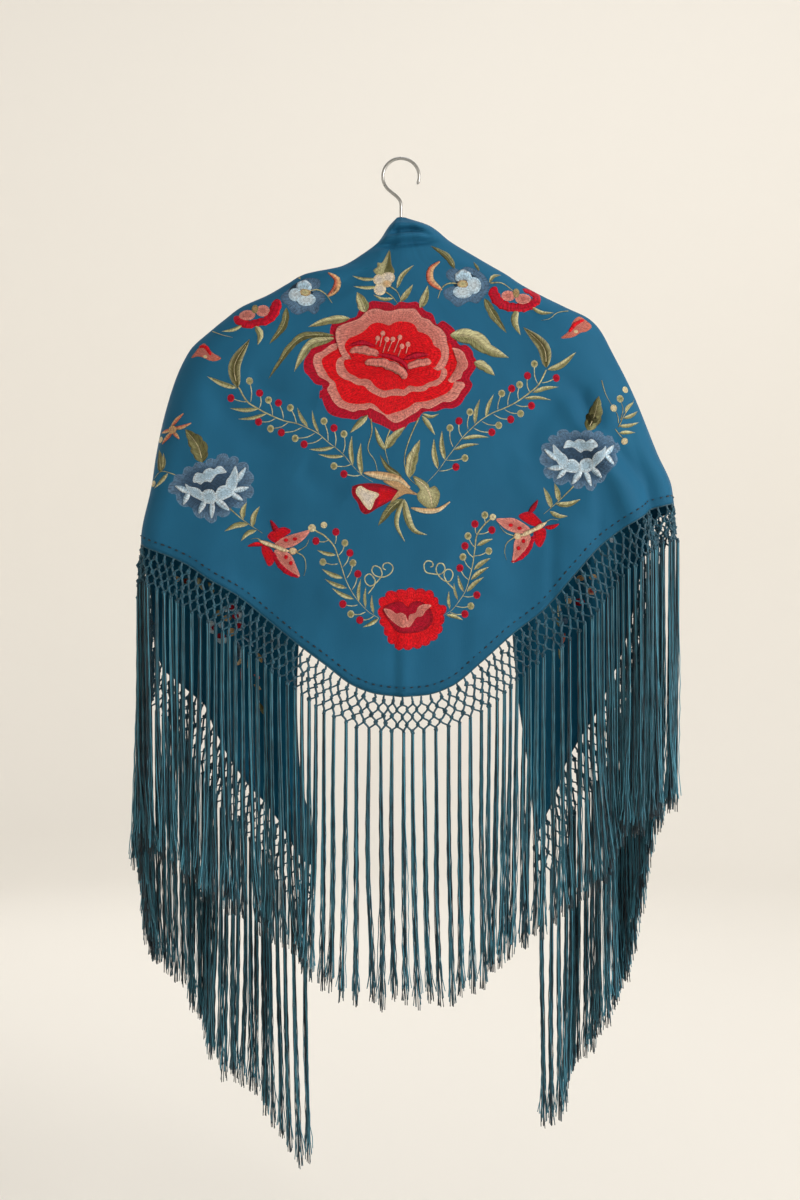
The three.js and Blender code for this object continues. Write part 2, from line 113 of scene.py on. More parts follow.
# the cloth's form
shawl = {
    "sections": [  # height, left, right, back, front, edge left, edge right
        (-64, 5, 6, 5, 6, 1.6, 1.6),
        (-73, 13, 32, 13, 12, 3, 3),
        (-91, 25, 55, 21, 17, 8, 8),
        (-105, 43, 78, 25, 20, 14, 14),
        (-119, 68, 102, 28, 22, 21, 21),
        (-127, 107, 116, 29, 22, 25, 26),
        (-137, 125, 131, 30, 23, 32, 33),
        (-149, 146, 153, 31, 24, 40, 42),
        (-163, 177, 182, 32, 25, 49, 52),
        (-175, 193, 207, 33, 26, 56, 60),
        (-187, 208, 219, 34, 28, 62, 67),
        (-210, 233, 232, 35, 33, 72, 78),
        (-257, 255, 257, 35, 48, 88, 95),
        (-322, 273, 283, 35, 65, 102, 110),
        (-361, 280, 299, 35, 74, 107, 116),
        (-420, 291, 304, 36, 84, 112, 122),
        (-500, 291, 303, 36, 91, 116, 127),
        (-600, 287, 300, 37, 95, 120, 136),
        (-690, 281, 297, 38, 97, 116, 149),
        (-745, 279, 296, 38.5, 98, 104, 154),
        (-820, 276, 294, 39, 99, 102, 158),
    ],
    "hem": [  # share of the way round from the middle back, height on the left, on the right
        (0, -588, -588),
        (0.05, -585, -586),
        (0.1, -576, -577),
        (0.16, -553, -551),
        (0.22, -530, -522),
        (0.285, -503, -494),
        (0.343, -479, -457),
        (0.4, -462, -423),
        (0.45, -445, -403),
        (0.5, -431, -385),
        (0.55, -422, -378),
        (0.6, -472, -388),
        (0.65, -560, -400),
        (0.67, -573, -438),
        (0.69, -585, -506),
        (0.71, -598, -560),
        (0.73, -613, -588),
        (0.75, -636, -603),
        (0.8, -671, -635),
        (0.85, -704, -667),
        (0.9, -733, -699),
        (0.95, -765, -728),
        (0.985, -787, -750),
        (1, -790, -752),
    ],
    "folds": [  # side, share, spread, depth outward, top height, height of full depth, share gained per 100 mm down
        (-1, 0.3, 0.05, -4, -230, -480, 0),
        (-1, 0.4, 0.05, 1.2, -230, -440, 0),
        (-1, 0.462, 0.03, -2, -250, -420, 0),
        (-1, 0.52, 0.025, 6, -250, -420, 0),
        (-1, 0.6, 0.025, -8, -230, -420, 0),
        (-1, 0.72, 0.03, 9, -220, -520, 0),
        (-1, 0.8, 0.026, -11, -220, -560, 0),
        (-1, 0.88, 0.028, 10, -200, -560, 0),
        (-1, 0.96, 0.028, -7, -240, -600, 0),
        (1, 0.24, 0.05, -4, -260, -500, 0),
        (1, 0.35, 0.04, 3, -230, -420, 0),
        (1, 0.416, 0.026, 7, -215, -350, 0.055),
        (1, 0.464, 0.022, -7, -225, -350, 0.055),
        (1, 0.53, 0.028, 6, -230, -380, 0),
        (1, 0.62, 0.026, -9, -230, -410, 0),
        (1, 0.71, 0.028, 9, -210, -500, 0),
        (1, 0.78, 0.024, -11, -210, -540, 0),
        (1, 0.86, 0.028, 11, -200, -560, 0),
        (1, 0.94, 0.028, -8, -220, -580, 0),
        # shallow ones that only this cloth has
        (1, 0.004, 0.018, 2.4, -430, -560, 0),
        (-1, 0.012, 0.012, -1.8, -440, -570, 0),
        (-1, 0.17, 0.03, 1.6, -420, -540, 0),
        (-1, 0.34, 0.02, -0.8, -250, -440, 0),
        (-1, 0.495, 0.012, 1, -260, -400, 0),
        (-1, 0.56, 0.009, -2.5, -250, -400, 0),
        (-1, 0.66, 0.01, 2.8, -240, -500, 0),
        (-1, 0.76, 0.009, 2.6, -260, -600, 0),
        (-1, 0.84, 0.009, -2.6, -260, -600, 0),
        (-1, 0.92, 0.01, 2.4, -260, -600, 0),
        (1, 0.12, 0.02, -1.6, -400, -560, 0),
        (1, 0.3, 0.012, -2, -330, -470, 0),
        (1, 0.395, 0.012, -1.2, -250, -400, 0),
        (1, 0.5, 0.009, -2.6, -240, -370, 0),
        (1, 0.57, 0.009, 2.4, -240, -380, 0),
        (1, 0.66, 0.01, 2.6, -240, -480, 0),
        (1, 0.745, 0.009, -2.6, -240, -560, 0),
        (1, 0.82, 0.01, 2.6, -260, -600, 0),
        (1, 0.9, 0.009, -2.4, -260, -600, 0),
    ],
    "rolls": [  # across the back: from x, z to x, z, bow downwards, spread, depth
        (-46, -92, 46, -82, 0, 5, 7),
        (-16, -88, 34, -86, -6.5, 3.6, -9),
        (-48, -100, 44, -91, 1, 3.6, -7),
        (-18, -74, 40, -76, 0, 5, 6),
        (20, -95, 84, -106, 2, 8, -2.4),
        (-76, -130, -24, -104, 2, 9, -2),
        # drag lines from the shoulders and soft dents
        (-120, -170, -30, -122, 3, 7, -1.6),
        (60, -125, 150, -178, -4, 7, -1.8),
        (-215, -235, -120, -330, 14, 16, -3.4),
        (215, -240, 130, -330, 14, 16, -3.2),
        (-166, -243, -88, -266, 8, 12, -3.6),
        (-230, -300, -150, -420, 10, 13, 3),
        (-110, -340, -60, -372, 6, 14, -2.6),
        (236, -262, 205, -400, 6, 12, 3.2),
        (196, -250, 203, -300, 0, 9, -3.4),
        (-90, -470, 10, -520, 10, 18, 2.8),
        (50, -440, 120, -500, 8, 16, -2.6),
        (-30, -330, 0, -420, 0, 16, -2),
        (120, -330, 196, -420, 10, 14, 2.4),
        (-205, -430, -120, -480, 8, 16, -2.4),
    ],
    "sideStart": 0.45,
    "sideEnd": 0.72,
    "sideRadius": 58,
    "backHollow": 0.72,
    "edgeTuck": 8,
    "wall": 0.8,
    "top": -64,
    "columns": 330,
    "rows": 128,
}


def smoothStep(value):
    t = np.clip(value, 0, 1)
    return t * t * (3 - 2 * t)


def smoothTable(places, values, at):  # a smooth curve that never overshoots its table
    x, y = np.asarray(places, float), np.asarray(values, float)
    at = np.asarray(at, float)
    if x[0] > x[-1]:
        x, at = -x, -at
    step = np.diff(x)
    rate = np.diff(y) / step
    slope = np.empty_like(y)
    slope[0], slope[-1] = rate[0], rate[-1]
    product, total = rate[:-1] * rate[1:], rate[:-1] + rate[1:]
    slope[1:-1] = np.where(product > 0, 2 * product / np.where(total == 0, 1, total), 0)
    at = np.clip(at, x[0], x[-1])
    i = np.clip(np.searchsorted(x, at) - 1, 0, len(step) - 1)
    t = (at - x[i]) / step[i]
    start = y[i] * (1 + 2 * t) * (1 - t) ** 2 + slope[i] * step[i] * t * (1 - t) ** 2
    end = y[i + 1] * t * t * (3 - 2 * t) - slope[i + 1] * step[i] * t * t * (1 - t)
    return start + end


sectionRows = np.array(shawl["sections"], float)
hemRows = np.array(shawl["hem"], float)


def sectionSizes(share, height):
    heights = sectionRows[:, 0]
    sizes = [smoothTable(heights, sectionRows[:, k], height) for k in range(1, 7)]
    left, right, back, front, edgeLeft, edgeRight = sizes
    width = np.where(share < 0, left, right)
    edge = np.where(share < 0, edgeLeft, edgeRight)
    return width, back, front, edge, np.minimum(shawl["sideRadius"], 0.62 * width)


def sectionPoint(share, height):  # flat back, half round side, flat front
    side, s = np.where(share < 0, -1.0, 1.0), np.abs(share)
    width, back, front, edge, radius = sectionSizes(share, height)
    start, end = shawl["sideStart"], shawl["sideEnd"]
    backSide = back * (shawl["backHollow"] + 0.22 * smoothStep((height + 180) / 80))
    t = np.clip(s / start, 0, 1)
    turn = math.pi * np.clip((s - start) / (end - start), 0, 1)
    u = np.clip((s - end) / (1 - end), 0, 1)
    x = np.where(s <= start, (width - radius) * t, width - radius + radius * np.sin(turn))
    x = np.where(s > end, (width - radius) * (1 - u) + edge * u, x)
    around = (front - backSide) / 2 - (front + backSide) / 2 * np.cos(turn)
    y = np.where(s <= start, -back + (back - backSide) * smoothStep(t), around)
    y = np.where(s > end, front - shawl["edgeTuck"] * np.minimum(1, front / 60) * u * u, y)
    return np.stack([side * x, y, height + 0 * x], -1)


def foldDepth(share, height):
    depth = 0 * share
    for side, place, spread, deep, top, full, lean in shawl["folds"]:
        away = (share * side - place - lean * (-310 - height) / 100) / spread
        depth = depth + deep * smoothStep((top - height) / (top - full)) * np.exp(-away * away)
    return depth


def rollDepth(x, z):
    depth = 0 * x
    for fromX, fromZ, toX, toZ, bow, spread, deep in shawl["rolls"]:
        alongX, alongZ = toX - fromX, toZ - fromZ
        long = math.hypot(alongX, alongZ)
        t = ((x - fromX) * alongX + (z - fromZ) * alongZ) / long**2
        across = ((z - fromZ) * alongX - (x - fromX) * alongZ) / long
        held = np.clip(t, 0, 1)
        bowed = across + bow * 4 * held * (1 - held)
        depth = depth + deep * (1 - (2 * held - 1) ** 4) * np.exp(-(bowed**2) / spread**2)
    return depth


def clothPoint(share, height):
    share, height = np.broadcast_arrays(np.asarray(share, float), np.asarray(height, float))
    point = sectionPoint(share, height)
    before = sectionPoint(np.maximum(-1, share - 0.004), height)
    after = sectionPoint(np.minimum(1, share + 0.004), height)
    along = after - before
    long = np.hypot(along[..., 0], along[..., 1])
    long = np.where(long == 0, 1, long)
    depth = foldDepth(share, height)
    reach = shawl["sideStart"] + 0.1
    fade = smoothStep((reach - np.abs(share)) / 0.1) * smoothStep((shawl["top"] - height) / 8)
    x = point[..., 0] + along[..., 1] / long * depth
    y = point[..., 1] - along[..., 0] / long * depth - rollDepth(point[..., 0], height) * fade
    return np.stack([x, y, height], -1)


def hemHeight(share):
    left = smoothTable(hemRows[:, 0], hemRows[:, 1], np.abs(share))
    right = smoothTable(hemRows[:, 0], hemRows[:, 2], np.abs(share))
    return np.where(np.asarray(share) < 0, left, right)


def unit(vector):
    long = np.linalg.norm(vector, axis=-1, keepdims=True)
    return vector / np.where(long == 0, 1, long)


def clothFrame(share, height):  # point and outward direction
    share, height = np.broadcast_arrays(np.asarray(share, float), np.asarray(height, float))
    across = clothPoint(np.minimum(1, share + 0.003), height) - clothPoint(np.maximum(-1, share - 0.003), height)
    up = clothPoint(share, height + 1.5) - clothPoint(share, height - 1.5)
    return clothPoint(share, height), unit(np.cross(across, up))


# meshes
def intoScene(name, data):  # a new object in the scene
    made = bpy.data.objects.new(name, data)
    bpy.context.scene.collection.objects.link(made)
    return made


def writeValues(mesh, name, kind, values):  # a value for each point
    layer = mesh.attributes.new(name, kind, "POINT")
    key = "vector" if kind == "FLOAT_VECTOR" else "value"
    layer.data.foreach_set(key, np.asarray(values, np.float32).ravel())


def addMesh(name, points, faces, finish=None, uv=None, colour=None, extra=None):
    mesh = bpy.data.meshes.new(name)
    mesh.from_pydata(np.asarray(points, float) * 0.001, [], faces)
    if uv is not None:
        layer = mesh.uv_layers.new(name="threadMap")
        corners = np.empty(len(mesh.loops), np.int32)
        mesh.loops.foreach_get("vertex_index", corners)
        layer.data.foreach_set("uv", np.asarray(uv, np.float32)[corners].ravel())
    if colour is not None:
        layer = mesh.color_attributes.new("threadColour", "FLOAT_COLOR", "POINT")
        full = np.concatenate([np.asarray(colour, np.float32), np.ones((len(points), 1), np.float32)], 1)
        layer.data.foreach_set("color", full.ravel())
    for key, values in (extra or {}).items():
        writeValues(mesh, key, "FLOAT", values)
    mesh.polygons.foreach_set("use_smooth", np.ones(len(mesh.polygons), bool))
    if finish:
        mesh.materials.append(finish)
    mesh.update()
    return intoScene(name, mesh)


def ringFaces(rings, sides, closed=False):  # from ring to ring; an open tube gets a cap at each end
    faces = []
    for i in range(rings if closed else rings - 1):
        j = (i + 1) % rings
        for k in range(sides):
            m = (k + 1) % sides
            faces.append((i * sides + k, i * sides + m, j * sides + m, j * sides + k))
    if not closed:
        faces.append(tuple(range(sides))[::-1])
        faces.append(tuple((rings - 1) * sides + k for k in range(sides)))
    return faces


def wallFaces(rows, columns):  # closed wall between two grids, the first outside
    index = np.arange(rows * columns).reshape(rows, columns)
    inner = index + rows * columns
    a, b, c, d = index[:-1, :-1], index[1:, :-1], index[1:, 1:], index[:-1, 1:]
    parts = [np.stack([a, b, c, d], -1).reshape(-1, 4)]
    a, b, c, d = inner[:-1, :-1], inner[:-1, 1:], inner[1:, 1:], inner[1:, :-1]
    parts.append(np.stack([a, b, c, d], -1).reshape(-1, 4))
    for first, second in ((index[0], inner[0]), (index[-1][::-1], inner[-1][::-1]), (index[::-1, 0], inner[::-1, 0]),
            (index[:, -1], inner[:, -1])):
        parts.append(np.stack([first[:-1], first[1:], second[1:], second[:-1]], -1))
    return np.concatenate(parts)


# finishes
def fromScreen(red, green, blue):  # 0 to 255 on a screen, to linear
    return tuple(((v / 255 + 0.055) / 1.055) ** 2.4 if v > 10 else v / 255 / 12.92 for v in (red, green, blue))


def paint(red, green, blue):
    return (*fromScreen(red, green, blue), 1.0)


def newFinish(name):
    material = bpy.data.materials.new(name)
    material.use_nodes = True
    material.node_tree.nodes.clear()
    return material, NodeKit(material.node_tree)


def closeFinish(kit, colour, roughness, bumps, sheen=0.0, metallic=0.0, specular=0.3, strength=0.5, distance=0.0004,
        sheenTint=(1, 1, 1, 1)):
    bump = kit.node("ShaderNodeBump", None, {"Strength": strength, "Distance": distance, "Height": bumps})
    kit.shade({
        "Base Color": colour, "Roughness": roughness, "Metallic": metallic, "Normal": kit.out(bump),
        "Sheen Weight": sheen, "Sheen Roughness": 0.45, "Sheen Tint": sheenTint, "Specular IOR Level": specular,
    })


def mixColour(kit, factor, first, second, blend="MIX"):
    made = kit.node("ShaderNodeMix", {"data_type": "RGBA", "blend_type": blend, "clamp_factor": True},
        {0: factor, 6: first, 7: second})
    return kit.out(made, 2)


crepe = {
    "outside": (26, 96, 131),
    "outsideDeep": (19, 85, 118),
    "inside": (3, 86, 116),
    "grain": 1.1,  # noise cells per mm
    "slub": 0.16,
    "turned": 10.5,  # mm of turned hem
    "turnedShade": 0.16,
    "sheen": (120, 160, 185),
}


def makeCrepe():
    material, kit = newFinish("crepe")
    place = kit.get("ShaderNodeUVMap", {"uv_map": "threadMap"})
    grain = kit.noise(place, crepe["grain"], 3.0, 0.7)
    stretched = kit.scaled(place, (3.2, 0.5, 1.0))
    slub = kit.noise(stretched, crepe["slub"], 4.0)
    weftPlace = kit.scaled(place, (0.25, 2.6, 1.0))
    weft = kit.noise(weftPlace, 1.0, 2.0)
    wide = kit.noise(place, 0.012, 2.0)
    inside = kit.attribute("inside")
    outer = mixColour(kit, wide * 1.6 - 0.3, paint(*crepe["outsideDeep"]), paint(*crepe["outside"]))
    speck = mixColour(kit, (grain - 0.5) * 0.5 + (weft - 0.5) * 0.35 + 0.5, (0.86, 0.86, 0.86, 1),
        (1.14, 1.14, 1.14, 1))
    sided = mixColour(kit, inside, outer, paint(*crepe["inside"]))
    colour = mixColour(kit, 1.0, sided, speck, "MULTIPLY")
    turned = 1 - kit.math("MULTIPLY", kit.attribute("toHem") - crepe["turned"], 1.2, clamp=True)
    colour = mixColour(kit, turned * crepe["turnedShade"], colour, (0.0, 0.02, 0.04, 1))
    rough = 0.72 + (grain - 0.5) * 0.25
    closeFinish(kit, colour, rough, grain * 0.5 + weft * 0.35 + slub * 0.4, sheen=0.03, specular=0.2, strength=0.5,
        distance=0.0005, sheenTint=paint(*crepe["sheen"]))
    return material


stitchRow = 4.2  # mm between the rows of a filled shape


def makeThread(name):  # satin stitch in the stitch's own colour, in rows, with painted shade in the gaps between rows
    material, kit = newFinish(name)
    place = kit.get("ShaderNodeUVMap", {"uv_map": "threadMap"})

    def streaks(along, across, detail):
        drawn = kit.scaled(place, (along, across, 1.0))
        return kit.noise(drawn, 1.0, detail, 0.6)

    strand, bundle, patch = streaks(0.3, 2.4, 2.0), streaks(0.16, 0.62, 1.0), streaks(0.12, 0.14, 1.0)
    split = kit.node("ShaderNodeSeparateXYZ", None, {0: place})
    row = kit.math("FRACT", kit.out(split, 0) / stitchRow + bundle * 0.9)
    # the gap between rows darkens the colour: painted shade in the groove between stitch rows, which the bump also
    # sinks
    gap = kit.math("MULTIPLY", 0.2 - row, 5.0, clamp=True)
    own = kit.attribute("threadColour", "Color")
    shade = mixColour(kit, (strand - 0.5) * 1.6 + (bundle - 0.5) * 1.9 + (patch - 0.5) * 0.6 + 0.55 - gap * 0.45,
        (0.45, 0.42, 0.44, 1), (1.2, 1.22, 1.24, 1))
    colour = mixColour(kit, 1.0, own, shade, "MULTIPLY")
    closeFinish(kit, colour, 0.5 + (strand - 0.5) * 0.4, strand * 0.7 + bundle * 0.9 - gap * 0.5, specular=0.16,
        strength=0.9, distance=0.0009)
    return material


def makeFringeThread(name, darkTone, paleAndSheenTone, toned=False):  # toned: each thread has its own tone. The pale tone is partly the thread's colour and partly painted highlight
    material, kit = newFinish(name)
    place = kit.get("ShaderNodeTexCoord", key="Object")
    drawn = kit.scaled(place, (900.0, 900.0, 60.0))
    fibre = kit.noise(drawn, 1.0, 2.0)
    wide = kit.noise(place, 60.0, 2.0)
    # the pale end stands partly for painted highlights on shiny thread
    dark, pale = paint(*darkTone), paint(*paleAndSheenTone)
    factor = (fibre - 0.5) * 1.2 + (wide - 0.5) * 0.8 + 0.45
    if toned:
        factor = factor + (kit.attribute("tone") - 0.5) * 1.1
    colour = mixColour(kit, factor, dark, pale)
    closeFinish(kit, colour, 0.45 + (fibre - 0.5) * 0.3, fibre, sheen=0.03, specular=0.5, strength=0.5,
        distance=0.0003)
    return material


def makeWood():
    material, kit = newFinish("hangerWood")
    place = kit.get("ShaderNodeTexCoord", key="Object")
    drawn = kit.scaled(place, (9.0, 160.0, 160.0))
    grain = kit.noise(drawn, 1.0, 4.0, 0.65)
    colour = mixColour(kit, grain, paint(150, 108, 66), paint(206, 168, 118))
    closeFinish(kit, colour, 0.42 + grain * 0.2, grain, specular=0.5, strength=0.25, distance=0.0004)
    return material


def makeWire():
    material, kit = newFinish("hookWire")
    place = kit.get("ShaderNodeTexCoord", key="Object")
    scratch = kit.noise(place, 420.0, 3.0)
    colour = mixColour(kit, scratch, paint(150, 150, 148), paint(196, 195, 192))
    closeFinish(kit, colour, 0.2 + scratch * 0.2, scratch, metallic=1.0, specular=0.5, strength=0.1, distance=0.0002)
    return material


crepeFinish = makeCrepe()
threadFinish = makeThread("satinThread")
# net and strand threads: their pale tones are partly painted highlights
fringeFinish = makeFringeThread("netThread", (2, 34, 48), (36, 100, 122))
strandFinish = makeFringeThread("strandThread", (1, 26, 38), (70, 140, 162), True)
# hem stitches: thread colour, darkened partly as painted shade of the stitch holes
stitchHoleShadeFinish = makeFringeThread("hemThreadAndHoleShade", (2, 18, 30), (6, 38, 54))
woodFinish = makeWood()
wireFinish = makeWire()
print("finishes made")


# the cloth
def makeCloth():
    share = np.linspace(-1, 1, shawl["columns"] + 1)[None, :]
    t = np.linspace(0, 1, shawl["rows"] + 1)[:, None]
    crowded = 0.36 * t + 0.64 * t**1.7  # rows stand closer at the neck
    height = shawl["top"] + (hemHeight(share) - shawl["top"]) * crowded
    share = share + 0 * height
    outer = clothPoint(share, height)
    down, along = np.gradient(outer, axis=0), np.gradient(outer, axis=1)
    normal = unit(np.cross(along, -down))
    inner = outer - normal * shawl["wall"]
    points = np.concatenate([outer.reshape(-1, 3), inner.reshape(-1, 3)])
    uv = np.stack([share * 930, height], -1).reshape(-1, 2)  # near enough in mm
    inside = np.repeat([0.0, 1.0], outer.shape[0] * outer.shape[1])
    toHem = np.tile((height - hemHeight(share)).ravel(), 2)
    return addMesh("shawlCloth", points, wallFaces(*share.shape), crepeFinish, np.concatenate([uv, uv]),
        extra={"inside": inside, "toHem": toHem})


shawlCloth = makeCloth()
print("cloth made")


# where things lie on it
def backShare(x, z):  # share of a point of the back, seen straight on
    width, back, front, edge, radius = sectionSizes(x, z)
    flat = width - radius
    start, end = shawl["sideStart"], shawl["sideEnd"]
    turned = start + (end - start) / math.pi * np.arcsin(np.clip((np.abs(x) - flat) / radius, 0, 1))
    return np.sign(x) * np.where(np.abs(x) < flat, start * np.abs(x) / flat, turned)


def frontShare(x, z):
    width, back, front, edge, radius = sectionSizes(x, z)
    flat = width - radius
    end = shawl["sideEnd"]
    return np.sign(x) * np.clip(end + (1 - end) * (flat - np.abs(x)) / (flat - edge), end - 0.04, 0.995)


def fromPhoto(px, py, y):  # pixel of the photo to x, z at a given depth
    scale = (view["distance"] + y) / view["distance"]
    x = (np.asarray(px, float) - view["hookX"]) * view["mmPerPixel"] * scale
    z = view["aimHeight"] + ((view["hookY"] - np.asarray(py, float)) * view["mmPerPixel"] - view["aimHeight"]) * scale
    return x, z


def smoothPath(path, count):  # even steps along a smooth curve through the points
    p = np.asarray(path, float)
    if len(p) == 2:
        t = np.linspace(0, 1, count)[:, None]
        return p[0] * (1 - t) + p[1] * t
    full = np.concatenate([[2 * p[0] - p[1]], p, [2 * p[-1] - p[-2]]])
    fine = []
    for k in range(1, len(full) - 2):
        t = np.linspace(0, 1, 12, endpoint=False)[:, None]
        a, b, c, d = full[k - 1], full[k], full[k + 1], full[k + 2]
        fine.append(0.5 * (2 * b + (c - a) * t + (2 * a - 5 * b + 4 * c - d) * t**2 + (3 * b - a - 3 * c + d) * t**3))
    fine = np.concatenate(fine + [p[-1:]])
    length = np.concatenate([[0], np.cumsum(np.linalg.norm(np.diff(fine, axis=0), axis=1))])
    want = np.linspace(0, length[-1], count)
    return np.stack([np.interp(want, length, fine[:, k]) for k in range(fine.shape[1])], -1)


thread = {
    "crimson": (184, 2, 40),
    "red": (228, 6, 22),
    "redDeep": (140, 0, 22),
    "salmon": (208, 122, 110),
    "pinkPale": (230, 150, 136),
    "slate": (70, 101, 129),
    "slatePale": (104, 135, 162),
    "slateDeep": (52, 77, 101),
    "ice": (176, 206, 224),
    "frost": (216, 230, 236),
    "white": (232, 220, 206),
    "cream": (232, 212, 172),
    "tan": (190, 152, 104),
    "olive": (138, 136, 92),
    "oliveDark": (96, 94, 56),
    "olivePale": (204, 198, 150),
    "rimmed": (92, 88, 50),  # a leaf that is dark inside a pale edge
    "peach": (218, 176, 128),
    "orange": (206, 110, 84),
    "shadow": (20, 48, 64),
}


sewing = {  # mm unless noted
    "layer": 0.42,  # from one level to the next
    "sunkRim": -0.12,
    "outsideLift": 0.72,  # share of the stated lift
    "insideLift": 0.4,
    "backDepth": -33,
    "endDepth": 86,
    "topHeight": -66,
    "ringWidth": 2.8,  # pixels
    "plainStep": 3.2,
    "wavyStep": 1.4,
}


def threadTones(colour, other):
    first = np.array(fromScreen(*thread[colour]))
    return first, np.array(fromScreen(*thread[other])) if other else first


class Needlework:
    # raised stitching on the cloth: ribbons and blobs in photo pixels
    def __init__(self, face):
        self.face = face  # back, frontInside or frontOutside
        self.parts = []

    def surface(self, px, py, lift, turned):
        if self.face == "back":
            x, z = fromPhoto(px, py, sewing["backDepth"])
            share = backShare(x, z)
        else:
            x, z = fromPhoto(px, py, sewing["endDepth"])
            share = frontShare(x, z)
        point, normal = clothFrame(share, np.minimum(z, sewing["topHeight"]))
        lift = lift[..., None] * sewing["insideLift" if turned else "outsideLift"]
        if (self.face == "frontInside") != turned:
            return point - normal * (shawl["wall"] + lift)
        return point + normal * lift

    def keep(self, px, py, lift, colour, uv, faces):
        if self.face == "frontOutside":
            faces = [tuple(reversed(face)) for face in faces]
        self.parts.append((px, py, lift, colour, uv, faces))

    def ribbon(self, path, width, colour, shape="stem", other=None, level=0, lift=0.55, waves=0, waveDepth=0.12,
            slant=0.0, across=4, count=None):
        path = np.asarray(path, float)
        long = np.sum(np.linalg.norm(np.diff(path, axis=0), axis=1))
        count = count or int(np.clip(long / sewing["plainStep" if waves == 0 else "wavyStep"], 6, 200))
        centre = smoothPath(path, count)
        along = unit(np.gradient(centre, axis=0))
        side = np.stack([along[:, 1], -along[:, 0]], -1)
        s = np.linspace(0, 1, count)
        if shape == "leaf":
            wide = np.sin(math.pi * s**0.72) ** 0.85
        elif shape == "petal":
            wide = np.sin(math.pi * s**1.25 * 0.93 + 0.12) ** 0.7
        elif shape == "taper":
            wide = 1 - 0.75 * s
        elif shape == "crescent":
            wide = np.sin(math.pi * s) ** 0.7
        elif shape == "band":
            wide = (1 - np.abs(2 * s - 1) ** 10) ** 0.5 * (0.9 + 0.1 * np.sin(s * 9))
        else:
            wide = np.ones(count)
        if isinstance(width, list):
            blunt = np.minimum(1, np.minimum(s, 1 - s) * long / max(width[0], 2) * 2 + 0.1) ** 0.5
            wide = blunt * np.interp(s, np.linspace(0, 1, len(width)), width)
            width = max(width)
        else:
            wide = np.maximum(wide, 0.04) * width
        t = np.linspace(-1, 1, across + 1)
        wave = waveDepth * (np.abs(np.sin(math.pi * waves * s)) ** 0.7 - 0.6)
        half = (wide * (1 + wave))[:, None] / 2 * t[None, :]
        if shape == "band":  # both edges swing to one side
            half = wide[:, None] / 2 * (t[None, :] + math.copysign(0.8, waves) * wave[:, None])
        px = centre[:, :1] + side[:, :1] * half
        py = centre[:, 1:] + side[:, 1:] * half
        ends = np.minimum(1, np.minimum(s, 1 - s) * long / 2.5 + 0.15)[:, None]
        dome = 1 - np.abs(t) ** 4
        if shape in ("leaf", "petal") and width > 5:
            dome = np.where(np.abs(t) < 1, 1 - np.abs(2 * np.abs(t) - 1) ** 3 * 0.75, 0)
        grow = np.minimum(1, wide / 3.0)[:, None]
        raised = level * sewing["layer"] + lift * dome[None, :] * ends * (0.45 + 0.55 * grow)
        raised[:, 0] = raised[:, -1] = sewing["sunkRim"] + level * sewing["layer"]
        first, second = threadTones(colour, other)
        if colour == "rimmed":
            blend = (smoothStep(np.abs(t) * 4 - 2.2) * 0.9)[None, :, None] + 0 * s[:, None, None]
        elif shape in ("leaf", "petal", "crescent"):
            blend = smoothStep(t * 1.6 + 0.5)[None, :, None] + 0 * s[:, None, None]
        else:
            blend = (np.abs(t) ** 3)[None, :, None] + 0 * s[:, None, None]
        tone = first * (1 - blend) + second * blend
        mm = view["mmPerPixel"]
        u = half * mm
        v = s[:, None] * long * mm - slant * np.abs(half) * mm + 0 * half
        if shape == "stem" or shape == "taper":
            u, v = v, u  # stem stitch runs along
        uv = np.stack([u + path[0, 0] * 3.7, v + path[0, 1] * 2.3], -1)
        n = across + 1
        index = np.arange(count * n).reshape(count, n)
        faces = []
        for i in range(count - 1):
            for j in range(across):
                faces.append((index[i, j], index[i, j + 1], index[i + 1, j + 1], index[i + 1, j]))
            faces.append((index[i, 0], index[i + 1, 0], index[i + 1, -1], index[i, -1]))
        faces.append(tuple(index[0, ::-1]))
        faces.append(tuple(index[-1]))
        self.keep(px.ravel(), py.ravel(), raised.ravel(), tone.reshape(-1, 3), uv.reshape(-1, 2), faces)

    def blob(self, centre, radii, colour, other=None, lobes=0, lobeDepth=0.1, turn=0.0, level=0, lift=0.6, steps=16,
            outline=None, tone=2.0):
        angle = np.linspace(0, 2 * math.pi, steps, endpoint=False)
        rim = np.ones(steps)
        if outline is not None:  # far from the middle at some angles
            degrees = [row[0] for row in outline] + [360 + outline[0][0]]
            rim = smoothTable(degrees, [row[1] for row in outline] + [outline[0][1]], np.degrees(angle) % 360)
        if lobes:
            rim = rim * (1 - lobeDepth + lobeDepth * np.abs(np.sin(lobes * (angle + turn) / 2)) ** 0.6)
        x = np.cos(angle) * radii[0] * rim
        y = -np.sin(angle) * radii[1] * rim
        self.fill(centre, x, y, colour, other, level, lift, tone)

    def patch(self, corners, colour, other=None, level=0, lift=0.6, tone=2.0):  # inside a smooth closed line
        count = max(20, 4 * len(corners))
        loop = smoothPath(list(corners) * 3 + [corners[0]], 3 * count + 1)[count:2 * count]
        centre = loop.mean(axis=0)
        area = np.sum(loop[:, 0] * np.roll(loop[:, 1], -1) - np.roll(loop[:, 0], -1) * loop[:, 1])
        if area > 0:
            loop = loop[::-1]
        self.fill(tuple(centre), loop[:, 0] - centre[0], loop[:, 1] - centre[1], colour, other, level, lift, tone)

